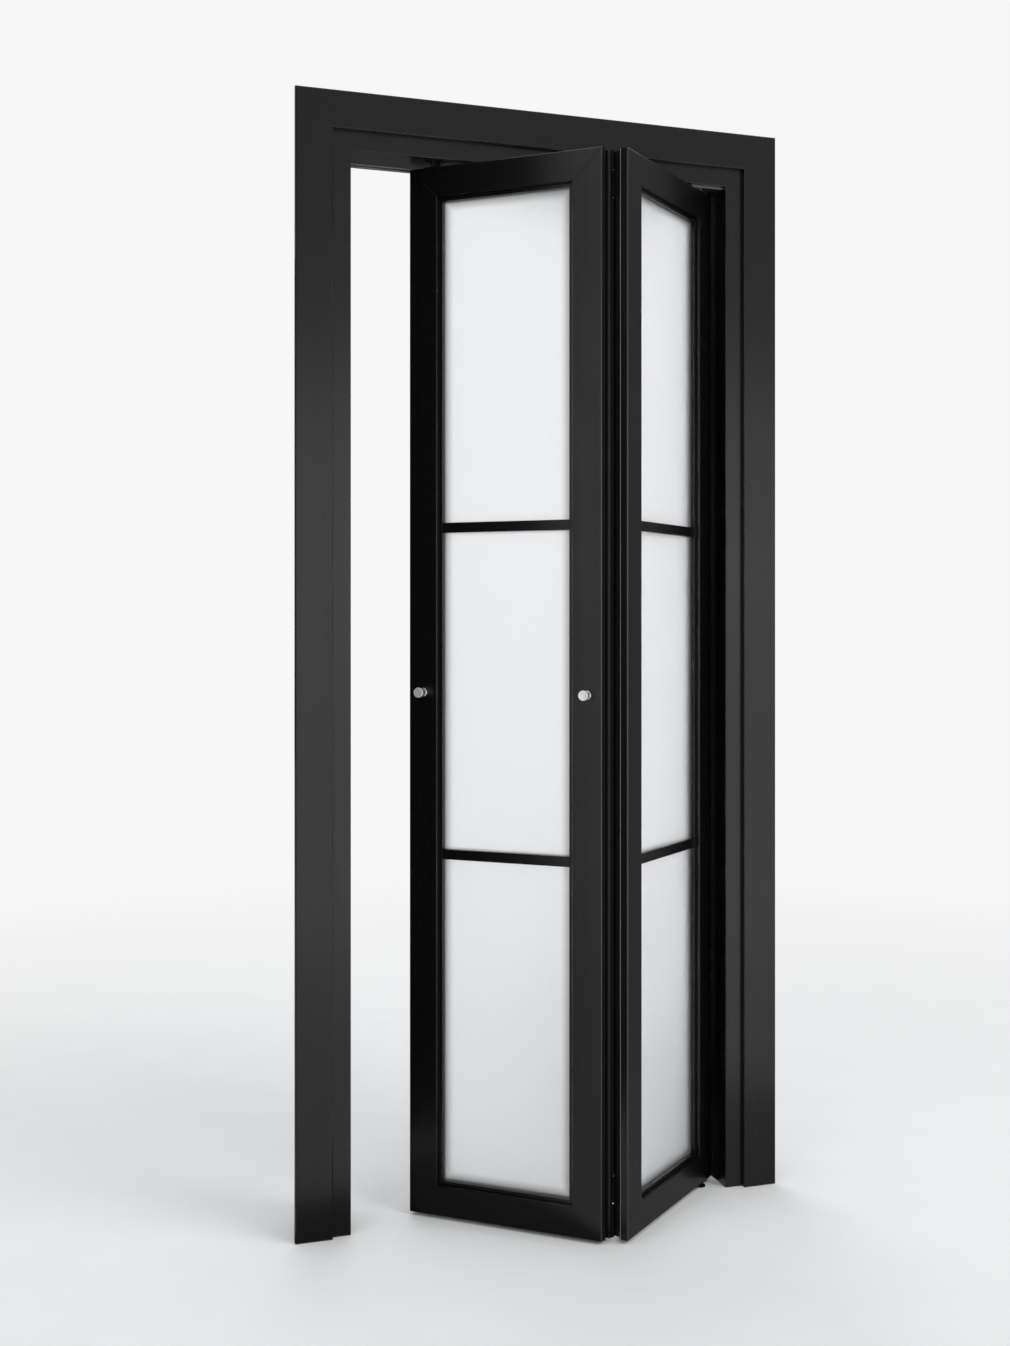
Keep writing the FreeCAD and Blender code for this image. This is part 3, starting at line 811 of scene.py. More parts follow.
def mark_arrises(
    shape: Shape, place: Matrix, reaches: Iterable[float], widest: float = 2.3 * MM
) -> None:
    """Give the long narrow faces near a leaf's front materials of their own, paler ones that paint
    highlights on them.

    Args:
        shape: The shape to change.
        place: The leaf's place.
        reaches: How deep in the leaf the faces of each further material lie, shallowest first.
        widest: Faces wider than this keep the first material.
    """
    shortest = 200 * MM
    to_leaf = place.inverted()
    for face in shape.faces:
        length = max(edge.calc_length() for edge in face.edges)
        narrow = length > shortest and face.calc_area() / length < widest
        depth = (to_leaf @ face.calc_center_median()).y
        bands = [index for index, reach in enumerate(reaches, 1) if depth < reach]
        if narrow and bands:
            face.material_index = bands[0]


def round_shading(shape: Shape, limit: float = 32.0) -> None:
    """Shade a shape smooth except at its sharp edges.

    Args:
        shape: The shape to change.
        limit: Angle in degrees past which an edge stays sharp.
    """
    for face in shape.faces:
        face.smooth = True
    for edge in shape.edges:
        edge.smooth = edge.is_manifold and edge.calc_face_angle(0.0) < math.radians(limit)


def bridge(shape: Shape, first: Sequence, second: Sequence) -> None:
    """Close the wall between two rings of points.

    Args:
        shape: The shape that has the rings.
        first: One ring's points in order.
        second: The other ring's points.
    """
    count = len(first)
    for index in range(count):
        following = (index + 1) % count
        shape.faces.new((first[index], first[following], second[following], second[index]))


def prism(outline: Sequence[Pair], low: float, high: float) -> Shape:
    """Raise a flat outline into a solid.

    Args:
        outline: Corners in x and y.
        low: Height of its foot.
        high: Height of its top.

    Returns:
        The solid.
    """
    shape = bmesh.new()
    foot, top = [[shape.verts.new((x, y, z)) for x, y in outline] for z in (low, high)]
    shape.faces.new(list(reversed(foot)))
    shape.faces.new(top)
    bridge(shape, foot, top)
    clean_normals(shape)
    return shape


def rounding(corner: Pair, radius: float, steps: int) -> list[Pair]:
    """Round a profile's outer corner.

    Args:
        corner: The sharp corner.
        radius: Radius of the round.
        steps: Lines in it.

    Returns:
        The round's points, from the side to the end.
    """
    points = []
    for step in range(steps + 1):
        angle = math.radians(90.0 * step / steps)
        points.append((
            corner[0] - radius * (1 - math.cos(angle)),
            corner[1] - radius * (1 - math.sin(angle)),
        ))
    return points


def rounded_outline(low: Pair, high: Pair, radius: float, steps: int = 5) -> list[Pair]:
    """Return a rectangle's outline with round corners.

    Args:
        low: Its lowest corner.
        high: Its highest corner.
        radius: Radius of the corners.
        steps: Lines in each corner.

    Returns:
        The outline's points in order.
    """
    centres = [
        (high[0] - radius, high[1] - radius),
        (low[0] + radius, high[1] - radius),
        (low[0] + radius, low[1] + radius),
        (high[0] - radius, low[1] + radius),
    ]
    points = []
    for quarter, (x, y) in enumerate(centres):
        for step in range(steps + 1):
            angle = math.radians(90.0 * (quarter + step / steps))
            points.append((x + radius * math.cos(angle), y + radius * math.sin(angle)))
    return points


def turned(profile: Sequence[Pair], steps: int, closed: bool = False) -> Shape:
    """Turn a profile about the Z axis.

    Args:
        profile: Radius and height of each point, from one end to the other.
        steps: Faces round the axis.
        closed: Whether the profile is a ring that doesn't touch the axis.

    Returns:
        The turned solid.
    """
    shape = bmesh.new()
    rings = []
    for radius, height in profile:
        rings.append([
            shape.verts.new((
                radius * math.cos(2 * math.pi * step / steps),
                radius * math.sin(2 * math.pi * step / steps),
                height,
            ))
            for step in range(steps)
        ])
    pairs = list(zip(rings, rings[1:]))
    if closed:
        pairs.append((rings[-1], rings[0]))
    for first, second in pairs:
        bridge(shape, first, second)
    if not closed:
        shape.faces.new(list(reversed(rings[0])))
        shape.faces.new(rings[-1])
    clean_normals(shape)
    round_shading(shape)
    return shape


def join_shapes(shapes: Iterable[Shape]) -> Shape:
    """Gather several shapes in one.

    Args:
        shapes: The shapes, which are freed.

    Returns:
        The joined shape.
    """
    joined = bmesh.new()
    for shape in shapes:
        mesh = bpy.data.meshes.new("passing")
        shape.to_mesh(mesh)
        shape.free()
        joined.from_mesh(mesh)
        bpy.data.meshes.remove(mesh)
    return joined


def moved(shape: Shape, place: Matrix) -> Shape:
    """Move a shape and return it."""
    shape.transform(place)
    return shape


# Geometry Nodes


@dataclass
class FastenerRows:
    """Set small fasteners on a list of places with Geometry Nodes."""

    tree_name: str = "fastener_rows"

    def tree(self) -> bpy.types.NodeTree:
        """Build the node tree the first time it is asked for.

        Returns:
            The tree.
        """
        known = bpy.data.node_groups.get(self.tree_name)
        if known:
            return known
        inputs = {
            "Places": "Geometry",
            "Fastener": "Object",
            "Scale": "Float",
            "Seed": "Int",
            "Finish": "Material",
        }
        tree, sheet, given = geometry_tree(self.tree_name, inputs, "Fasteners")
        shape = sheet.add("GeometryNodeObjectInfo", {"Object": given["Fastener"]})
        facing = sheet.add(
            "GeometryNodeInputNamedAttribute", {"Name": "facing"}, data_type="FLOAT_VECTOR"
        ).outputs["Attribute"]
        upright = sheet.add("FunctionNodeAlignRotationToVector", {"Vector": facing}, axis="Z")
        angle = sheet.add(
            "FunctionNodeRandomValue",
            {2: 0.0, 3: math.tau, "Seed": given["Seed"]},
            data_type="FLOAT",
        ).outputs[1]
        spin = sheet.add(
            "FunctionNodeAxisAngleToRotation", {"Axis": (0.0, 0.0, 1.0), "Angle": angle}
        )
        spun = sheet.add(
            "FunctionNodeRotateRotation",
            {"Rotation": upright.outputs["Rotation"], "Rotate By": spin.outputs["Rotation"]},
            rotation_space="LOCAL",
        )
        scale = sheet.add("ShaderNodeCombineXYZ", {axis: given["Scale"] for axis in "XYZ"})
        placed = sheet.add(
            "GeometryNodeInstanceOnPoints",
            {
                "Points": given["Places"],
                "Instance": shape.outputs["Geometry"],
                "Rotation": spun.outputs["Rotation"],
                "Scale": scale.outputs["Vector"],
            },
        ).outputs["Instances"]
        close_geometry(sheet, placed, given["Finish"])
        return tree

    def build(
        self,
        name: str,
        places: Sequence[tuple[Vector, Vector]],
        fastener: bpy.types.Object,
        scale: float,
        finish: bpy.types.Material,
    ) -> bpy.types.Object:
        """Set a fastener at each place.

        Args:
            name: The piece's name.
            places: Point and outward direction of each fastener.
            fastener: The object that is repeated, with Z outwards.
            scale: Its scale.
            finish: Its material.

        Returns:
            The fasteners as one plain mesh object.
        """
        mesh = bpy.data.meshes.new(f"{name}_places")
        mesh.from_pydata([tuple(point) for point, _ in places], [], [])
        facing = mesh.attributes.new("facing", "FLOAT_VECTOR", "POINT")
        for index, (_, direction) in enumerate(places):
            facing.data[index].vector = direction
        carrier = linked(f"{name}_carrier", mesh)
        values = {"Fastener": fastener, "Scale": scale, "Seed": len(places), "Finish": finish}
        return bake_tree(carrier, self.tree(), values, name, finish)


def bake_tree(
    carrier: bpy.types.Object,
    tree: bpy.types.NodeTree,
    values: dict,
    name: str,
    finish: bpy.types.Material,
) -> bpy.types.Object:
    """Run a Geometry Nodes tree on an object and keep the result as a plain mesh.

    Args:
        carrier: The object that gives the tree its geometry, which is removed.
        tree: The tree.
        values: Inputs by name.
        name: The new piece's name.
        finish: The material of the result.

    Returns:
        The new piece.
    """
    modifier = carrier.modifiers.new("rows", "NODES")
    modifier.node_group = tree
    for item in tree.interface.items_tree:
        if item.in_out == "INPUT" and item.name in values:
            modifier[item.identifier] = values[item.name]
    mesh = evaluated_mesh(carrier)
    mesh.name = name
    mesh.materials.clear()
    mesh.materials.append(finish)
    bpy.data.objects.remove(carrier)
    return linked(name, mesh)


@dataclass(frozen=True)
class FastenerPatterns:
    """Make the fasteners that the rows repeat, with Z outwards and their seat at zero."""

    head_outline: tuple = (
        (1.35 * MM, -1.2 * MM),
        (2.82 * MM, -0.1 * MM),
        (3.0 * MM, 0.06 * MM),
        (2.55 * MM, 0.175 * MM),
        (1.2 * MM, 0.25 * MM),
    )
    slot_top: float = 0.5 * MM
    slot_length: float = 1.7 * MM
    slot_width: float = 0.45 * MM
    slot_depth: float = 0.9 * MM
    pin_outline: tuple = ((1.0 * MM, -0.3 * MM), (1.0 * MM, 0.05 * MM), (0.6 * MM, 0.12 * MM))

    def screw(self) -> bpy.types.Object:
        """Build a countersunk screw head with a cross recess.

        Returns:
            The object that the rows repeat.
        """
        piece = as_object("screw_pattern", turned(self.head_outline, steps=28))
        slots = ((self.slot_length, self.slot_width), (self.slot_width, self.slot_length))
        cross = join_shapes(self.slot(length, width) for length, width in slots)
        tool = as_object("cross_pattern", cross)
        modifier = piece.modifiers.new("recess", "BOOLEAN")
        modifier.object = tool
        modifier.solver = "EXACT"
        modifier.use_self = True
        mesh = evaluated_mesh(piece)
        piece.modifiers.clear()
        piece.data = mesh
        bpy.data.objects.remove(tool)
        return piece

    def slot(self, length: float, width: float) -> Shape:
        """Return the block that cuts one slot of the cross.

        Args:
            length: Half its length in x.
            width: Half its width in y.

        Returns:
            The block.
        """
        corners = [(-length, -width), (length, -width), (length, width), (-length, width)]
        return prism(corners, -self.slot_depth, self.slot_top)

    def pin(self) -> bpy.types.Object:
        """Return a small round pin head."""
        return as_object("pin_pattern", turned(self.pin_outline, steps=12))


# Lining


@dataclass
class Lining:
    """Jambs and architraves, mitred at the head."""

    finishes: Finishes
    edge: float = 0.5 * MM

    def build(self) -> None:
        """Build each jamb and architrave from its node, with softened edges."""
        for side in ("left", "right", "head"):
            level = side == "head"
            reveal = self.finishes.reveal_level if level else self.finishes.reveal
            face = self.finishes.level if level else self.finishes.upright
            self.member(f"{side}_jamb", reveal)
            self.member(f"{side}_architrave", face)

    def member(self, node: str, material: bpy.types.Material) -> None:
        """Build one member.

        Args:
            node: The node that it stands for.
            material: Its lacquer.
        """
        shape = node_shape(node)
        soften(shape, self.edge)
        piece = as_object(f"{node}_lacquered", shape, material)
        hand_over(piece, [node])


# Leaves


@dataclass
class GlazedLeaf:
    """One leaf: stiles, rails, glass, beads and cross bars."""

    side: str
    finishes: Finishes
    rows: FastenerRows
    pin: bpy.types.Object
    edge: float = 0.5 * MM
    bead_depth: float = 8 * MM
    bead_width: float = 7.7 * MM
    bead_round: float = 3 * MM
    bead_clearance: float = 0.3 * MM
    joint: float = 0.12 * MM
    pin_pitch: float = 160 * MM
    pin_share: float = 0.32
    # Depths within which narrow faces take the paler lacquers that paint arris highlights.
    front_arris: float = 3 * MM
    lip_arris: float = 21 * MM

    def build(self) -> None:
        """Build the leaf's pieces."""
        upright = self.finishes.leaf_upright[self.side]
        level = self.finishes.leaf_level[self.side]
        meeting_end = "right" if self.side == "left" else "left"
        for end in ("left", "right"):
            painted_highlights = self.finishes.painted_highlights[self.side] if end == meeting_end else ()
            self.member(f"{self.side}_leaf_{end}_stile", upright, painted_highlights)
        for edge in ("top", "bottom"):
            self.member(f"{self.side}_leaf_{edge}_rail", level)
        for face in ("front", "back"):
            self.member(f"{self.side}_leaf_{face}_bars", level)
        self.glass()
        self.beads()

    def member(
        self, node: str, material: bpy.types.Material, painted_highlights: Iterable[bpy.types.Material] = ()
    ) -> None:
        """Build one wooden member from its node, with softened edges.

        Args:
            node: The node that it stands for.
            material: Its lacquer.
            painted_highlights: The paler lacquers of its arrises, the front's first.
        """
        shape = node_shape(node)
        soften(shape, self.edge)
        # Narrow faces near the front and on the lip get the paler lacquers: painted highlights.
        reaches = [reach for reach, _ in zip((self.front_arris, self.lip_arris), painted_highlights)]
        mark_arrises(shape, PLAN.leaf(self.side), reaches)
        piece = as_object(f"{node}_lacquered", shape, material)
        for paler in painted_highlights:
            piece.data.materials.append(paler)
        hand_over(piece, [node])

    def glass(self) -> None:
        """Finish the glass, whose CAD shape is right."""
        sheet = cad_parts[f"{self.side}_leaf_glass"]
        sheet.data.materials.clear()
        sheet.data.materials.append(self.finishes.glass[self.side])
        LOG.info("%s: finished", sheet.name)

    def bead_section(self) -> list[Pair]:
        """Draw the bead's section, with a round sight edge.

        Returns:
            Distance inward and depth of each point.
        """
        near = PLAN.glass_setback + PLAN.glass_thickness
        far = near + self.bead_depth
        sight = rounding((self.bead_width, far), self.bead_round, steps=6)
        return [(0.0, near), (self.bead_width, near), *sight, (0.0, far)]

    def beads(self) -> None:
        """Build the four mitred beads and their pins."""
        outer = PLAN.member_width + self.bead_clearance
        low = (outer, PLAN.floor_gap + outer)
        high = (PLAN.width(self.side) - outer, PLAN.leaf_top - outer)
        corners = [low, (high[0], low[1]), high, (low[0], high[1])]
        inward = [(1, 1), (-1, 1), (-1, -1), (1, -1)]
        place = PLAN.leaf(self.side)
        lacquer = self.finishes.leaf_upright[self.side]
        shape = join_shapes(
            self.bead_length(start, end, *signs)
            for start, end, signs in zip(
                corners, corners[1:] + corners[:1], zip(inward, inward[1:] + inward[:1])
            )
        )
        piece = as_object(f"{self.side}_leaf_beads", shape, lacquer, place)
        hand_over(piece, [f"{self.side}_leaf_back_bead"])
        places = self.pin_places(corners, inward, place)
        pins = self.rows.build(f"{self.side}_leaf_bead_pins", places, self.pin, 1.0, lacquer)
        hand_over(pins)

    def bead_length(
        self,
        start: Pair,
        end: Pair,
        start_inward: tuple[int, int],
        end_inward: tuple[int, int],
    ) -> Shape:
        """Build one bead between two mitres.

        Args:
            start: Outer corner where it starts, in x and z.
            end: Outer corner where it ends.
            start_inward: Signs that lead inward from the start.
            end_inward: Signs that lead inward from the end.

        Returns:
            The bead in the leaf's frame.
        """
        shape = bmesh.new()
        run = Vector((end[0] - start[0], end[1] - start[1])).normalized() * self.joint
        rings = []
        for corner, sign, slack in ((start, start_inward, run), (end, end_inward, -run)):
            rings.append([
                shape.verts.new((
                    corner[0] + sign[0] * inward + slack.x,
                    depth,
                    corner[1] + sign[1] * inward + slack.y,
                ))
                for inward, depth in self.bead_section()
            ])
        bridge(shape, *rings)
        shape.faces.new(rings[0])
        shape.faces.new(list(reversed(rings[1])))
        clean_normals(shape)
        return shape

    def pin_places(
        self, corners: Sequence[Pair], inward: Sequence[tuple[int, int]], place: Matrix
    ) -> list[tuple[Vector, Vector]]:
        """Return the places of the pins that hold the beads.

        Args:
            corners: Outer corners of the ring, in x and z.
            inward: Signs that lead inward from each corner.
            place: The leaf's place.

        Returns:
            Point and direction of each pin.
        """
        back = PLAN.glass_setback + PLAN.glass_thickness + self.bead_depth
        middle = self.bead_width * self.pin_share
        facing = place.to_3x3() @ Vector((0.0, 1.0, 0.0))
        ends = [Vector(corner) + Vector(sign) * middle for corner, sign in zip(corners, inward)]
        places = []
        for first, last in zip(ends, ends[1:] + ends[:1]):
            count = max(2, round((last - first).length / self.pin_pitch))
            for step in range(count):
                spot = first.lerp(last, (step + 0.5) / count)
                places.append((place @ Vector((spot.x, back, spot.y)), facing))
        return places


# Meeting edge


@dataclass
class MeetingEdge:
    """The rubber seal and the two hinges between the leaves."""

    finishes: Finishes
    rows: FastenerRows
    screw: bpy.types.Object
    seal_front: float = 7 * MM
    seal_width: float = 12 * MM
    seal_thickness: float = 2.7 * MM
    seal_steps: int = 24
    seal_foot: float = 0.3 * MM
    rib_height: float = 0.12
    crown_share: float = 0.88
    crown_power: float = 0.55
    back_seal_round: float = 0.7 * MM
    hinge_length: float = 50 * MM
    hinge_plate: float = 1.2 * MM
    plate_depth: float = 13 * MM
    knuckle_radius: float = 4 * MM
    pin_radius: float = 1.7 * MM
    bore_gap: float = 0.3 * MM
    knuckles: int = 5
    plate_round: float = 1.5 * MM
    knuckle_rim: float = 0.4 * MM
    pin_point: Pair = (0.7, 0.5 * MM)
    pin_head: tuple = (
        (3.0 * MM, 0.15 * MM),
        (3.0 * MM, 0.8 * MM),
        (2.3 * MM, 1.35 * MM),
        (1.0 * MM, 1.6 * MM),
    )
    upper_drop: float = 63 * MM
    lower_rise: float = 90 * MM
    screw_rises: tuple = (-15 * MM, -5 * MM, 5 * MM, 15 * MM)
    screw_scale: float = 0.8

    def build(self) -> None:
        """Build the seals, the flaps, their screws and the pins."""
        self.seal()
        self.back_seal()
        heights = {
            "upper": PLAN.leaf_top - self.upper_drop,
            "lower": PLAN.floor_gap + self.lower_rise,
        }
        for position, centre in heights.items():
            for side in LEAVES:
                self.flap(position, side, centre)
        self.pins(heights.values())

    def seal_tree(self) -> bpy.types.NodeTree:
        """Build the tree that draws the seal's section along its line.

        Returns:
            The tree.
        """
        inputs = {"Section": "Geometry", "Foot": "Float", "Top": "Float", "Finish": "Material"}
        tree, sheet, given = geometry_tree("seal_extrusion", inputs, "Seal")
        foot = sheet.add("ShaderNodeCombineXYZ", {"Z": given["Foot"]}).outputs["Vector"]
        length = sheet.maths("SUBTRACT", given["Top"], given["Foot"])
        rise = sheet.add("ShaderNodeCombineXYZ", {"Z": length}).outputs["Vector"]
        lowered = sheet.add(
            "GeometryNodeSetPosition", {"Geometry": given["Section"], "Offset": foot}
        ).outputs["Geometry"]
        raised = sheet.add(
            "GeometryNodeExtrudeMesh",
            {"Mesh": lowered, "Offset": rise, "Offset Scale": 1.0, "Individual": False},
            mode="FACES",
        ).outputs["Mesh"]
        flipped = sheet.add("GeometryNodeFlipFaces", {"Mesh": lowered}).outputs["Mesh"]
        joined = sheet.add("GeometryNodeJoinGeometry")
        sheet.link(raised, joined.inputs["Geometry"])
        sheet.link(flipped, joined.inputs["Geometry"])
        merged = sheet.add(
            "GeometryNodeMergeByDistance",
            {"Geometry": joined.outputs["Geometry"], "Distance": MERGE_DISTANCE},
        ).outputs["Geometry"]
        close_geometry(sheet, merged, given["Finish"])
        return tree

    def seal_section(self) -> list[Pair]:
        """Draw the seal's ribbed section.

        Returns:
            Its points in the left leaf's plan.
        """
        face = PLAN.left_width
        half = self.seal_width / 2
        middle = self.seal_front + half
        points = [(face, self.seal_front), (face, self.seal_front + self.seal_width)]
        for step in range(self.seal_steps + 1):
            share = step / self.seal_steps
            across = middle + half * math.cos(math.pi * share)
            crown = math.sin(math.pi * share) ** self.crown_power
            rib = self.rib_height * math.cos(6 * math.pi * share)
            rise = self.seal_thickness * max(0.0, crown * (self.crown_share + rib))
            points.append((face + self.seal_foot + rise * self.crown_share, across))
        return points

    def seal(self) -> None:
        """Build the seal along the left leaf's meeting edge."""
        section = bmesh.new()
        corners = [section.verts.new((x, y, 0.0)) for x, y in self.seal_section()]
        section.faces.new(corners)
        bmesh.ops.recalc_face_normals(section, faces=section.faces)
        section.normal_update()
        for face in section.faces:
            if face.normal.z < 0:
                face.normal_flip()
        rubber = self.finishes.rubber
        carrier = as_object("seal_section", section, rubber, PLAN.leaf("left"))
        values = {"Foot": PLAN.floor_gap, "Top": PLAN.leaf_top, "Finish": rubber}
        piece = bake_tree(carrier, self.seal_tree(), values, "meeting_seal_ribbed", rubber)
        hand_over(piece, ["meeting_seal"])

    def back_seal(self) -> None:
        """Build the soft strips on the end of the left leaf's tongue."""
        shape = node_shape("back_seal")
        soften(shape, self.back_seal_round, shortest=1.0 * MM)
        piece = as_object("back_seal_strips", shape, self.finishes.rubber)
        hand_over(piece, ["back_seal"])

    def flap(self, position: str, side: str, centre: float) -> None:
        """Build one flap with its knuckles and screws.

        Args:
            position: "upper" or "lower".
            side: The leaf that carries it.
            centre: Height of the hinge's middle.
        """
        place = PLAN.leaf(side)
        bottom = centre - self.hinge_length / 2
        back = PLAN.leaf_thickness
        if side == "left":
            start = PLAN.left_width + PLAN.rebate_depth
            axis = PLAN.left_axis_along
            own = range(0, self.knuckles, 2)
            outward = 1.0
        else:
            start = PLAN.rebate_depth - self.hinge_plate
            axis = PLAN.right_axis_along
            own = range(1, self.knuckles, 2)
            outward = -1.0
        low = (back - self.plate_depth, bottom)
        high = (back - self.knuckle_radius - self.bore_gap, bottom + self.hinge_length)
        outline = rounded_outline(low, high, self.plate_round)
        plate = prism(outline, start, start + self.hinge_plate)
        end_on = Matrix(((0, 0, 1, 0), (1, 0, 0, 0), (0, 1, 0, 0), (0, 0, 0, 1)))
        shapes = [moved(plate, end_on)]
        pitch = self.hinge_length / self.knuckles
        height = pitch - self.bore_gap
        inner = back - self.knuckle_radius - 2 * self.bore_gap
        far = start + self.hinge_plate
        web = [(start, inner), (far, inner), (far, back), (start, back)]
        for knuckle in own:
            foot = bottom + pitch * knuckle + self.bore_gap / 2
            shapes.append(self.knuckle(axis, foot, height))
            shapes.append(prism(web, foot, foot + height))
        name = f"{position}_hinge_{side}_flap"
        steel = self.finishes.dark_steel
        piece = as_object(f"{name}_rolled", join_shapes(shapes), steel, place)
        hand_over(piece, [name])
        face = far if side == "left" else start
        middle = (low[0] + high[0]) / 2
        facing = place.to_3x3() @ Vector((outward, 0.0, 0.0))
        places = [
            (place @ Vector((face, middle, centre + rise)), facing) for rise in self.screw_rises
        ]
        screws = self.rows.build(f"{name}_screws", places, self.screw, self.screw_scale, steel)
        hand_over(screws)

    def knuckle(self, along: float, foot: float, height: float) -> Shape:
        """Build one knuckle with softened rims and a bore.

        Args:
            along: Where the axis lies along the leaf.
            foot: Height of its foot.
            height: Its length.

        Returns:
            The knuckle in the leaf's frame.
        """
        rim = self.knuckle_rim
        outer = self.knuckle_radius
        bore = self.pin_radius + self.bore_gap
        lower = [(bore, 0.0), (outer - rim, 0.0), (outer, rim)]
        upper = [(outer, height - rim), (outer - rim, height), (bore, height)]
        shape = turned(lower + upper, steps=32, closed=True)
        return moved(shape, Matrix.Translation((along, PLAN.leaf_thickness, foot)))

    def pins(self, centres: Iterable[float]) -> None:
        """Build the hinge pins with domed heads.

        Args:
            centres: Heights of the hinges' middles.
        """
        axis = PLAN.hinge_axis()
        half = self.hinge_length / 2
        share, rise = self.pin_point
        outline = [
            (self.pin_radius * share, -half),
            (self.pin_radius, -half + rise),
            (self.pin_radius, half + self.pin_head[0][1]),
        ]
        outline += [(radius, half + rise) for radius, rise in self.pin_head]
        shapes = [
            moved(turned(outline, steps=32), Matrix.Translation((axis.x, axis.y, centre)))
            for centre in centres
        ]
        piece = as_object("hinge_pins_domed", join_shapes(shapes), self.finishes.steel)
        hand_over(piece, ["hinge_pins"])


# Pivots, roller and track


@dataclass
class RunningGear:
    """The right leaf's pivots and the left leaf's roller in its track."""

    finishes: Finishes
    rows: FastenerRows
    screw: bpy.types.Object
    edge: float = 0.3 * MM
    plate_screw_reach: float = 19 * MM
    plate_screw_depth: float = 10.5 * MM
    arm_screws: tuple = (13 * MM, 27 * MM)
    arm_thickness: float = 3 * MM
    plate_thickness: float = 2.5 * MM
    socket_thickness: float = 3 * MM
    socket_screws: tuple = (-18 * MM, 16 * MM, 36 * MM)
    track_height: float = 20 * MM
    track_wall: float = 2 * MM
    track_screw_pitch: float = 190 * MM
    track_screw_scale: float = 1.1
    wheel_radius: float = 6.5 * MM
    wheel_width: float = 4.5 * MM
    wheel_shares: tuple = ((0.45, 0.9), (0.55, 0.6), (0.8, 0.6), (0.88, 1.0), (0.97, 0.75))
    wheel_spacing: float = 26 * MM
    axle_radius: float = 2 * MM
    axle_end: Pair = (0.6, 0.4 * MM)
    carriage: Point = (42 * MM, 8 * MM, 9 * MM)
    carriage_round: float = 2.5 * MM
    stud_radius: float = 3 * MM
    stud_foot: Pair = (0.7, 1.2 * MM)
    stud_top: Pair = (0.9, 0.5 * MM)
    thread_root: float = 0.86
    thread_pitch: float = 1.0 * MM
    nut_radius: float = 6 * MM
    nut_height: float = 4 * MM
    nut_edge: float = 0.5 * MM
    fit_gap: float = 0.3 * MM

    def build(self) -> None:
        """Build every piece of the running gear."""
        for node in ("top_pivot", "top_pivot_socket", "roller_arm"):
            self.softened(node, self.finishes.steel)
        for node in ("bottom_pivot", "floor_pivot_plate"):
            self.softened(node, self.finishes.dark_steel)
        self.softened("head_track", self.finishes.aluminium)
        self.plate_screws()
        self.roller()

    def softened(self, node: str, material: bpy.types.Material) -> None:
        """Build a plate or section from its node, with softened edges.

        Args:
            node: The node that it stands for.
            material: Its finish.
        """
        shape = node_shape(node)
        soften(shape, self.edge, shortest=1.0 * MM)
        hand_over(as_object(f"{node}_finished", shape, material), [node])

    def plate_screws(self) -> None:
        """Set the screws of the pivot plates, the sockets, the arm and the track."""
        up = Vector((0.0, 0.0, 1.0))
        right = PLAN.leaf("right")
        left = PLAN.leaf("left")
        along = PLAN.right_width - PLAN.pivot_inset
        top = PLAN.leaf_top + self.plate_thickness
        places = [
            (right @ Vector((along + reach, self.plate_screw_depth, top)), up)
            for reach in (-self.plate_screw_reach, self.plate_screw_reach)
        ]
        arm_top = PLAN.leaf_top + self.arm_thickness
        places += [(left @ Vector((PLAN.roller_inset, y, arm_top)), up) for y in self.arm_screws]
        pivot_x, pivot_y = PLAN.pivot
        socket = PLAN.clear_height - self.socket_thickness
        for reach in self.socket_screws:
            places.append((Vector((pivot_x + reach, pivot_y, socket)), -up))
        screws = self.rows.build("plate_screws", places, self.screw, 1.0, self.finishes.steel)
        hand_over(screws)

        web = PLAN.clear_height + self.track_height - self.track_wall
        first = PLAN.jamb_thickness + 0.5 * self.track_screw_pitch
        count = int(PLAN.clear_width / self.track_screw_pitch)
        track_places = [
            (Vector((first + step * self.track_screw_pitch, PLAN.track_centre, web)), -up)
            for step in range(count)
        ]
        fixed = self.rows.build(
            "track_screws", track_places, self.screw, self.track_screw_scale, self.finishes.steel
        )
        hand_over(fixed)

    def roller(self) -> None:
        """Build the carriage: chassis, wheels with tyres, threaded stud and nut."""
        lip = PLAN.clear_height + self.track_wall
        axle_height = lip + self.fit_gap + self.wheel_radius
        length, width, height = self.carriage
        foot = axle_height - height / 2
        corner = (length / 2, width / 2)
        outline = rounded_outline((-corner[0], -corner[1]), corner, self.carriage_round)
        chassis = prism(outline, foot, foot + height)
        soften(chassis, self.edge, shortest=0.2 * MM)
        axles = []
        wheels = []
        lying = Matrix.Rotation(math.radians(90.0), 4, "X")
        middle = (width + self.wheel_width) / 2 + self.fit_gap
        for direction in (-1, 1):
            centre = Matrix.Translation((direction * self.wheel_spacing / 2, 0.0, axle_height))
            axles.append(moved(self.axle(middle + self.wheel_width / 2), centre @ lying))
            for face in (-1, 1):
                seat = Matrix.Translation((0.0, 0.0, face * middle))
                wheels.append(moved(self.wheel(), centre @ lying @ seat))
        shapes = [chassis, *axles, self.stud(foot), self.nut()]
        depth = PLAN.track_centre - PLAN.leaf_setback
        spot = PLAN.left_leaf() @ Vector((PLAN.roller_inset, depth, 0.0))
        place = Matrix.Translation((spot.x, spot.y, 0.0))
        body = as_object("roller_carriage_body", join_shapes(shapes), self.finishes.steel, place)
        hand_over(body, ["roller_carriage"])
        tyres = as_object("roller_carriage_wheels", join_shapes(wheels), self.finishes.nylon, place)
        hand_over(tyres, ["roller_carriage"])

    def axle(self, reach: float) -> Shape:
        """Return an axle with chamfered ends.

        Args:
            reach: How far it is full on each side of the middle.

        Returns:
            The axle about the Z axis.
        """
        share, rise = self.axle_end
        upper = [(self.axle_radius, reach), (self.axle_radius * share, reach + rise)]
        lower = [(radius, -height) for radius, height in reversed(upper)]
        return turned(lower + upper, steps=24)

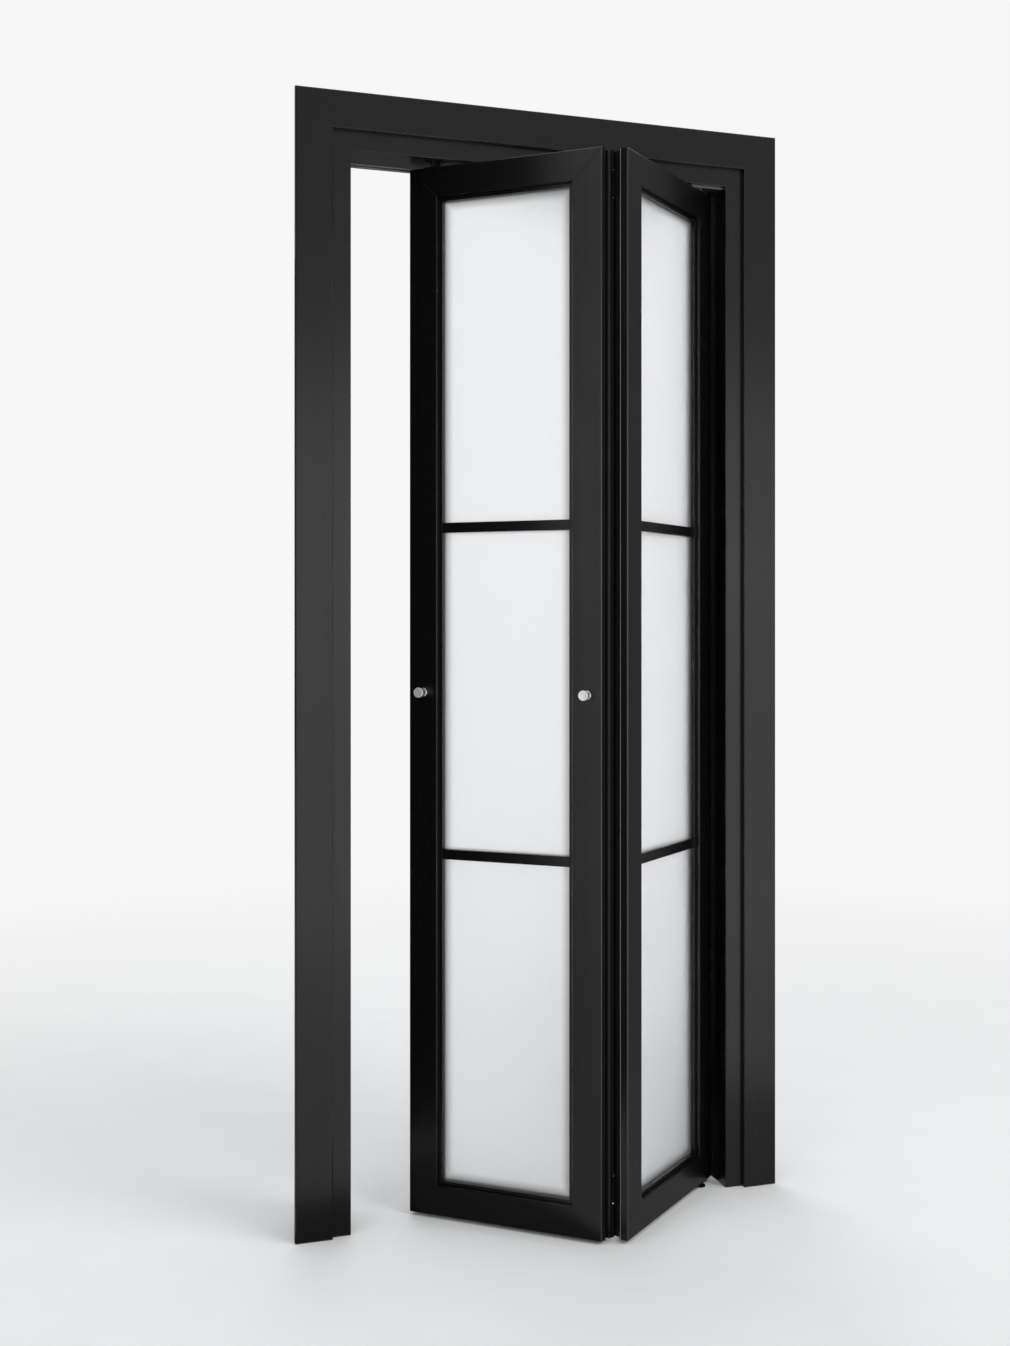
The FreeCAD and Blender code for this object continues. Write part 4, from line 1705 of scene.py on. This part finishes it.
    def wheel(self) -> Shape:
        """Turn one wheel with a crowned tread and a dished hub.

        Returns:
            The wheel about the Z axis.
        """
        half = self.wheel_width / 2
        face = [(self.wheel_radius * out, half * up) for out, up in self.wheel_shares]
        upper = [(self.axle_radius, face[0][1]), *face]
        lower = [(radius, -height) for radius, height in upper]
        profile = [*lower, (self.wheel_radius, 0.0), *reversed(upper)]
        return turned(profile, steps=36, closed=True)

    def stud(self, top: float) -> Shape:
        """Return the stud with its thread's crests.

        Args:
            top: Height of the chassis's foot.

        Returns:
            The stud about the Z axis.
        """
        foot = PLAN.leaf_top - self.fit_gap - self.nut_height
        share, rise = self.stud_foot
        profile = [(self.stud_radius * share, foot - rise)]
        height = foot - self.thread_pitch
        while height + self.thread_pitch < top:
            profile.append((self.stud_radius * self.thread_root, height))
            profile.append((self.stud_radius, height + self.thread_pitch / 2))
            height += self.thread_pitch
        share, rise = self.stud_top
        profile.append((self.stud_radius * share, top + rise))
        return turned(profile, steps=24)

    def nut(self) -> Shape:
        """Build the hexagon nut with chamfered corners.

        Returns:
            The nut about the Z axis.
        """
        foot = PLAN.leaf_top - self.fit_gap - self.nut_height
        corners = []
        for corner in range(6):
            angle = math.tau * corner / 6
            corners.append((self.nut_radius * math.cos(angle), self.nut_radius * math.sin(angle)))
        shape = prism(corners, foot, foot + self.nut_height)
        soften(shape, self.nut_edge, shortest=1.0 * MM)
        return shape


# Knobs


@dataclass
class Knob:
    """A turned chrome knob on one stile of the left leaf."""

    end: str
    finishes: Finishes
    height: float = 1040 * MM
    length: float = 25 * MM
    radius: float = 10 * MM
    waist: float = 6 * MM
    base: float = 9 * MM
    base_thickness: float = 3 * MM
    head_thickness: float = 7 * MM
    base_round: float = 0.8 * MM
    head_round: float = 1.0 * MM
    rim: float = 1.6 * MM
    neck_foot: Pair = (1.6 * MM, 0.6 * MM)
    neck_steps: int = 14
    dish: float = 0.15 * MM
    dish_shares: Point = (0.74, 0.66, 0.2)

    def profile(self) -> list[Pair]:
        """Draw the knob's profile.

        Returns:
            Radius and distance from the leaf of each point.
        """
        points = [(self.base, 0.0), (self.base, self.base_thickness - self.base_round)]
        points += rounding((self.base, self.base_thickness), self.base_round, steps=4)
        inset, lift = self.neck_foot
        neck_start = self.base_thickness + lift
        neck_end = self.length - self.head_thickness
        for step in range(self.neck_steps + 1):
            share = step / self.neck_steps
            near_base = (self.base - inset - self.waist) * (1 - share) ** 3
            near_head = (self.radius - self.head_round - self.waist) * share ** 5
            height = neck_start + (neck_end - neck_start) * share
            points.append((self.waist + near_base + near_head, height))
        underside = rounding((self.radius, -neck_end), self.head_round, steps=5)
        points += [(radius, -height) for radius, height in reversed(underside)]
        points += rounding((self.radius, self.length), self.rim, steps=7)
        edge, foot, middle = (self.radius * share for share in self.dish_shares)
        bottom = self.length - self.dish
        return [*points, (edge, self.length), (foot, bottom), (middle, bottom)]

    def build(self) -> None:
        """Build the knob and set it on its stile."""
        inset = PLAN.member_width / 2
        along = inset if self.end == "left" else PLAN.left_width - inset
        spot = PLAN.left_leaf() @ Vector((along, 0.0, PLAN.floor_gap + self.height))
        towards_room = Matrix.Rotation(math.radians(90.0), 4, "X")
        turn = Matrix.Rotation(-PLAN.left_angle(), 4, "Z")
        place = Matrix.Translation(spot) @ turn @ towards_room
        shape = turned(self.profile(), steps=64)
        for face in shape.faces:
            face.material_index = int(face.calc_center_median().z < self.length - self.rim)
        piece = as_object(f"{self.end}_knob_turned", shape, self.finishes.chrome, place)
        piece.data.materials.append(self.finishes.polished)
        hand_over(piece, [f"{self.end}_knob"])


# Studio


@dataclass(frozen=True)
class Flag:
    """A dark glowing board that only reflections see, or only rays that come through the glass: a
    painted reflection, or painted shade on the floor behind the glass.
    """

    name: str
    centre: Point
    size: Pair
    turn: float
    level: float
    lying: bool = False
    through: bool = False

    def build(self) -> None:
        """Set the board beside the door, standing or lying just above the floor."""
        x, z = self.size[0] / 2, self.size[1] / 2
        shape = bmesh.new()
        corners = ((-x, 0.0, -z), (x, 0.0, -z), (x, 0.0, z), (-x, 0.0, z))
        shape.faces.new([shape.verts.new(corner) for corner in corners])
        # The board's emission paints a darker reflection or painted shade; it lights nothing.
        material, sheet = new_material(f"{self.name}_cloth")
        emission = sheet.add("ShaderNodeEmission", {"Color": grey(self.level), "Strength": 1.0})
        sheet.close(emission.outputs["Emission"])
        place = Matrix.Translation(self.centre) @ Matrix.Rotation(math.radians(self.turn), 4, "Z")
        if self.lying:
            place = place @ Matrix.Rotation(math.radians(90.0), 4, "X")
        board = as_object(self.name, shape, material, place)
        board.visible_camera = False
        board.visible_diffuse = False
        board.visible_glossy = not self.through
        board.visible_transmission = self.through
        board.visible_shadow = False


@dataclass(frozen=True)
class Softbox:
    """A soft square lamp that lights the door and doesn't show in it."""

    name: str
    place: Point
    target: Point
    size: float
    power: float

    def build(self) -> None:
        """Hang the lamp and turn it to its target."""
        data = bpy.data.lights.new(self.name, "AREA")
        data.shape = "SQUARE"
        data.size = self.size
        data.energy = self.power
        aim = Vector(self.target) - Vector(self.place)
        lamp = linked(self.name, data)
        lamp.location = self.place
        lamp.rotation_mode = "QUATERNION"
        lamp.rotation_quaternion = aim.to_track_quat("-Z", "Y")
        lamp.visible_glossy = False
        lamp.visible_transmission = False


@dataclass
class Studio:
    """Camera, floor, lamps and world."""

    camera_place: Point = (-0.5402, -2.7901, 1.1853)
    camera_yaw: float = 17.3765
    focal_pixels: float = 1467.02
    image: Pair = (1010, 1346)
    principal: Pair = (490.58, 622.78)
    sensor: float = 36.0
    clip: Pair = (0.05, 100.0)
    backdrop: float = 0.93
    sky: Colour = (0.97, 0.985, 1.0, 1.0)
    sky_strength: float = 0.72
    floor_radius: float = 30.0
    floor_middle: Point = (0.45, 0.0, 0.0)
    floor_greys: Pair = (0.82, 0.86)
    floor_noise: Pair = (6.0, 4.0)
    floor_fades: dict = field(
        default_factory=lambda: {"Is Camera Ray": (0.9, 4.2), "Is Transmission Ray": (1.6, 9.0)}
    )
    softboxes: tuple[Softbox, ...] = (
        Softbox("key_softbox", (2.6, -2.6, 3.2), (0.4, 0.0, 0.9), 2.4, 62.0),
        Softbox("fill_softbox", (-2.4, -2.2, 2.6), (0.4, 0.0, 1.0), 2.4, 16.0),
        Softbox("rear_softbox", (0.6, 3.0, 3.0), (0.4, 0.0, 0.8), 2.6, 30.0),
    )
    # Boards that paint darker reflections into the lacquer, and one (floor_flag_beyond) that paints
    # shade on the floor seen through the glass.
    flags: tuple[Flag, ...] = (
        Flag("left_flag", (-0.22, -0.09, 1.45), (0.86, 3.0), 90.0, 0.0),
        Flag("right_flag", (1.5, 0.2, 1.3), (1.5, 2.6), 90.0, 0.2),
        Flag("rear_flag", (0.62, 0.5, 1.15), (0.42, 2.3), 0.0, 0.0),
        Flag("soffit_flag", (0.95, 1.3, 1.5), (2.6, 1.4), 0.0, 0.12),
        Flag("front_high_flag", (1.5, -6.0, 5.1), (18.0, 5.0), 0.0, 0.27),
        Flag("floor_flag_front", (1.0, -1.26, 0.0008), (3.2, 2.48), 0.0, 0.42, True),
        Flag("floor_flag_side", (1.9, -1.26, 0.001), (1.6, 2.48), 0.0, 0.6, True),
        Flag("floor_flag_left", (-1.2, -0.9, 0.0012), (1.9, 2.4), 0.0, 0.5, True),
        Flag("floor_flag_right", (1.2, 0.0, 0.0016), (1.5, 1.2), 0.0, 0.22, True),
        Flag("floor_flag_inner", (0.2, 0.04, 0.002), (0.6, 0.52), 0.0, 0.08, True),
        Flag("floor_flag_rear", (0.45, 0.84, 0.0024), (0.8, 1.6), 0.0, 0.01, True),
        Flag("floor_flag_beyond", (1.42, 0.46, 0.0028), (1.4, 1.2), 0.0, 0.3, True, True),
    )

    def build(self) -> None:
        """Build the whole set."""
        self.camera()
        self.world()
        self.floor()
        for piece in (*self.softboxes, *self.flags):
            piece.build()

    def camera(self) -> None:
        """Set the camera at the photograph's place."""
        data = bpy.data.cameras.new("photo_camera")
        data.sensor_fit = "VERTICAL"
        data.sensor_height = self.sensor
        data.lens = self.focal_pixels * self.sensor / self.image[1]
        data.shift_x = (self.image[0] / 2 - self.principal[0]) / self.image[1]
        data.shift_y = (self.principal[1] - self.image[1] / 2) / self.image[1]
        data.clip_start, data.clip_end = self.clip
        camera = linked("photo_camera", data)
        camera.location = self.camera_place
        camera.rotation_euler = (math.radians(90.0), 0.0, -math.radians(self.camera_yaw))
        bpy.context.scene.camera = camera

    def world(self) -> None:
        """Make the world pale where it is seen and softer where it lights."""
        world = bpy.data.worlds.new("studio")
        bpy.context.scene.world = world
        world.use_nodes = True
        world.node_tree.nodes.clear()
        sheet = NodeSheet(world.node_tree)
        seen = sheet.add("ShaderNodeBackground", {"Color": grey(self.backdrop), "Strength": 1.0})
        light = sheet.add(
            "ShaderNodeBackground", {"Color": self.sky, "Strength": self.sky_strength}
        )
        mixed = sheet.add(
            "ShaderNodeMixShader",
            {0: self.seen_rays(sheet), 1: light.outputs[0], 2: seen.outputs[0]},
        )
        sheet.add("ShaderNodeOutputWorld", {"Surface": mixed.outputs[0]})

    def seen_rays(self, sheet: NodeSheet) -> Socket:
        """Return 1 for camera, glossy and transmission rays, which see the backdrop itself.

        Args:
            sheet: The tree that is written.

        Returns:
            The socket that holds the answer.
        """
        path = sheet.add("ShaderNodeLightPath")
        seen = path.outputs["Is Camera Ray"]
        for name in ("Is Glossy Ray", "Is Transmission Ray"):
            seen = sheet.maths("MAXIMUM", seen, path.outputs[name])
        return seen

    def floor(self) -> None:
        """Lay a pale floor that fades into the backdrop."""
        shape = bmesh.new()
        bmesh.ops.create_circle(shape, cap_ends=True, segments=96, radius=self.floor_radius)
        material, sheet = new_material("pale_floor")
        places = sheet.places()
        distance = sheet.add(
            "ShaderNodeVectorMath", {0: places, 1: self.floor_middle}, operation="DISTANCE"
        ).outputs["Value"]
        colour = sheet.blend(sheet.noise(places, *self.floor_noise), *map(grey, self.floor_greys))
        matt = sheet.add("ShaderNodeBsdfDiffuse", {"Color": colour})
        far = sheet.add("ShaderNodeEmission", {"Color": grey(self.backdrop), "Strength": 1.0})
        path = sheet.add("ShaderNodeLightPath")
        parts = []
        for kind, reach in self.floor_fades.items():
            fade = sheet.remap(distance, reach, ease="SMOOTHSTEP")
            parts.append(sheet.maths("MULTIPLY", fade, path.outputs[kind]))
        faded = sheet.maths("MAXIMUM", *parts)
        mixed = sheet.add(
            "ShaderNodeMixShader", {0: faded, 1: matt.outputs[0], 2: far.outputs[0]}
        )
        sheet.close(mixed.outputs[0])
        as_object("floor", shape, material)


def main() -> None:
    """Build the door's looks and the studio."""
    logging.basicConfig(level=logging.INFO, format="%(name)s: %(message)s")
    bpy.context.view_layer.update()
    finishes = Finishes()
    rows = FastenerRows()
    patterns = FastenerPatterns()
    screw = patterns.screw()
    pin = patterns.pin()
    builders: list[Callable[[], None]] = [Lining(finishes).build]
    builders += [GlazedLeaf(side, finishes, rows, pin).build for side in LEAVES]
    builders.append(MeetingEdge(finishes, rows, screw).build)
    builders.append(RunningGear(finishes, rows, screw).build)
    builders += [Knob(end, finishes).build for end in ("left", "right")]
    builders.append(Studio().build)
    for build in builders:
        build()
    for pattern in (screw, pin):
        bpy.data.objects.remove(pattern)
    view = bpy.context.scene.view_settings
    view.view_transform = "Standard"


if __name__ == "__main__":
    main()
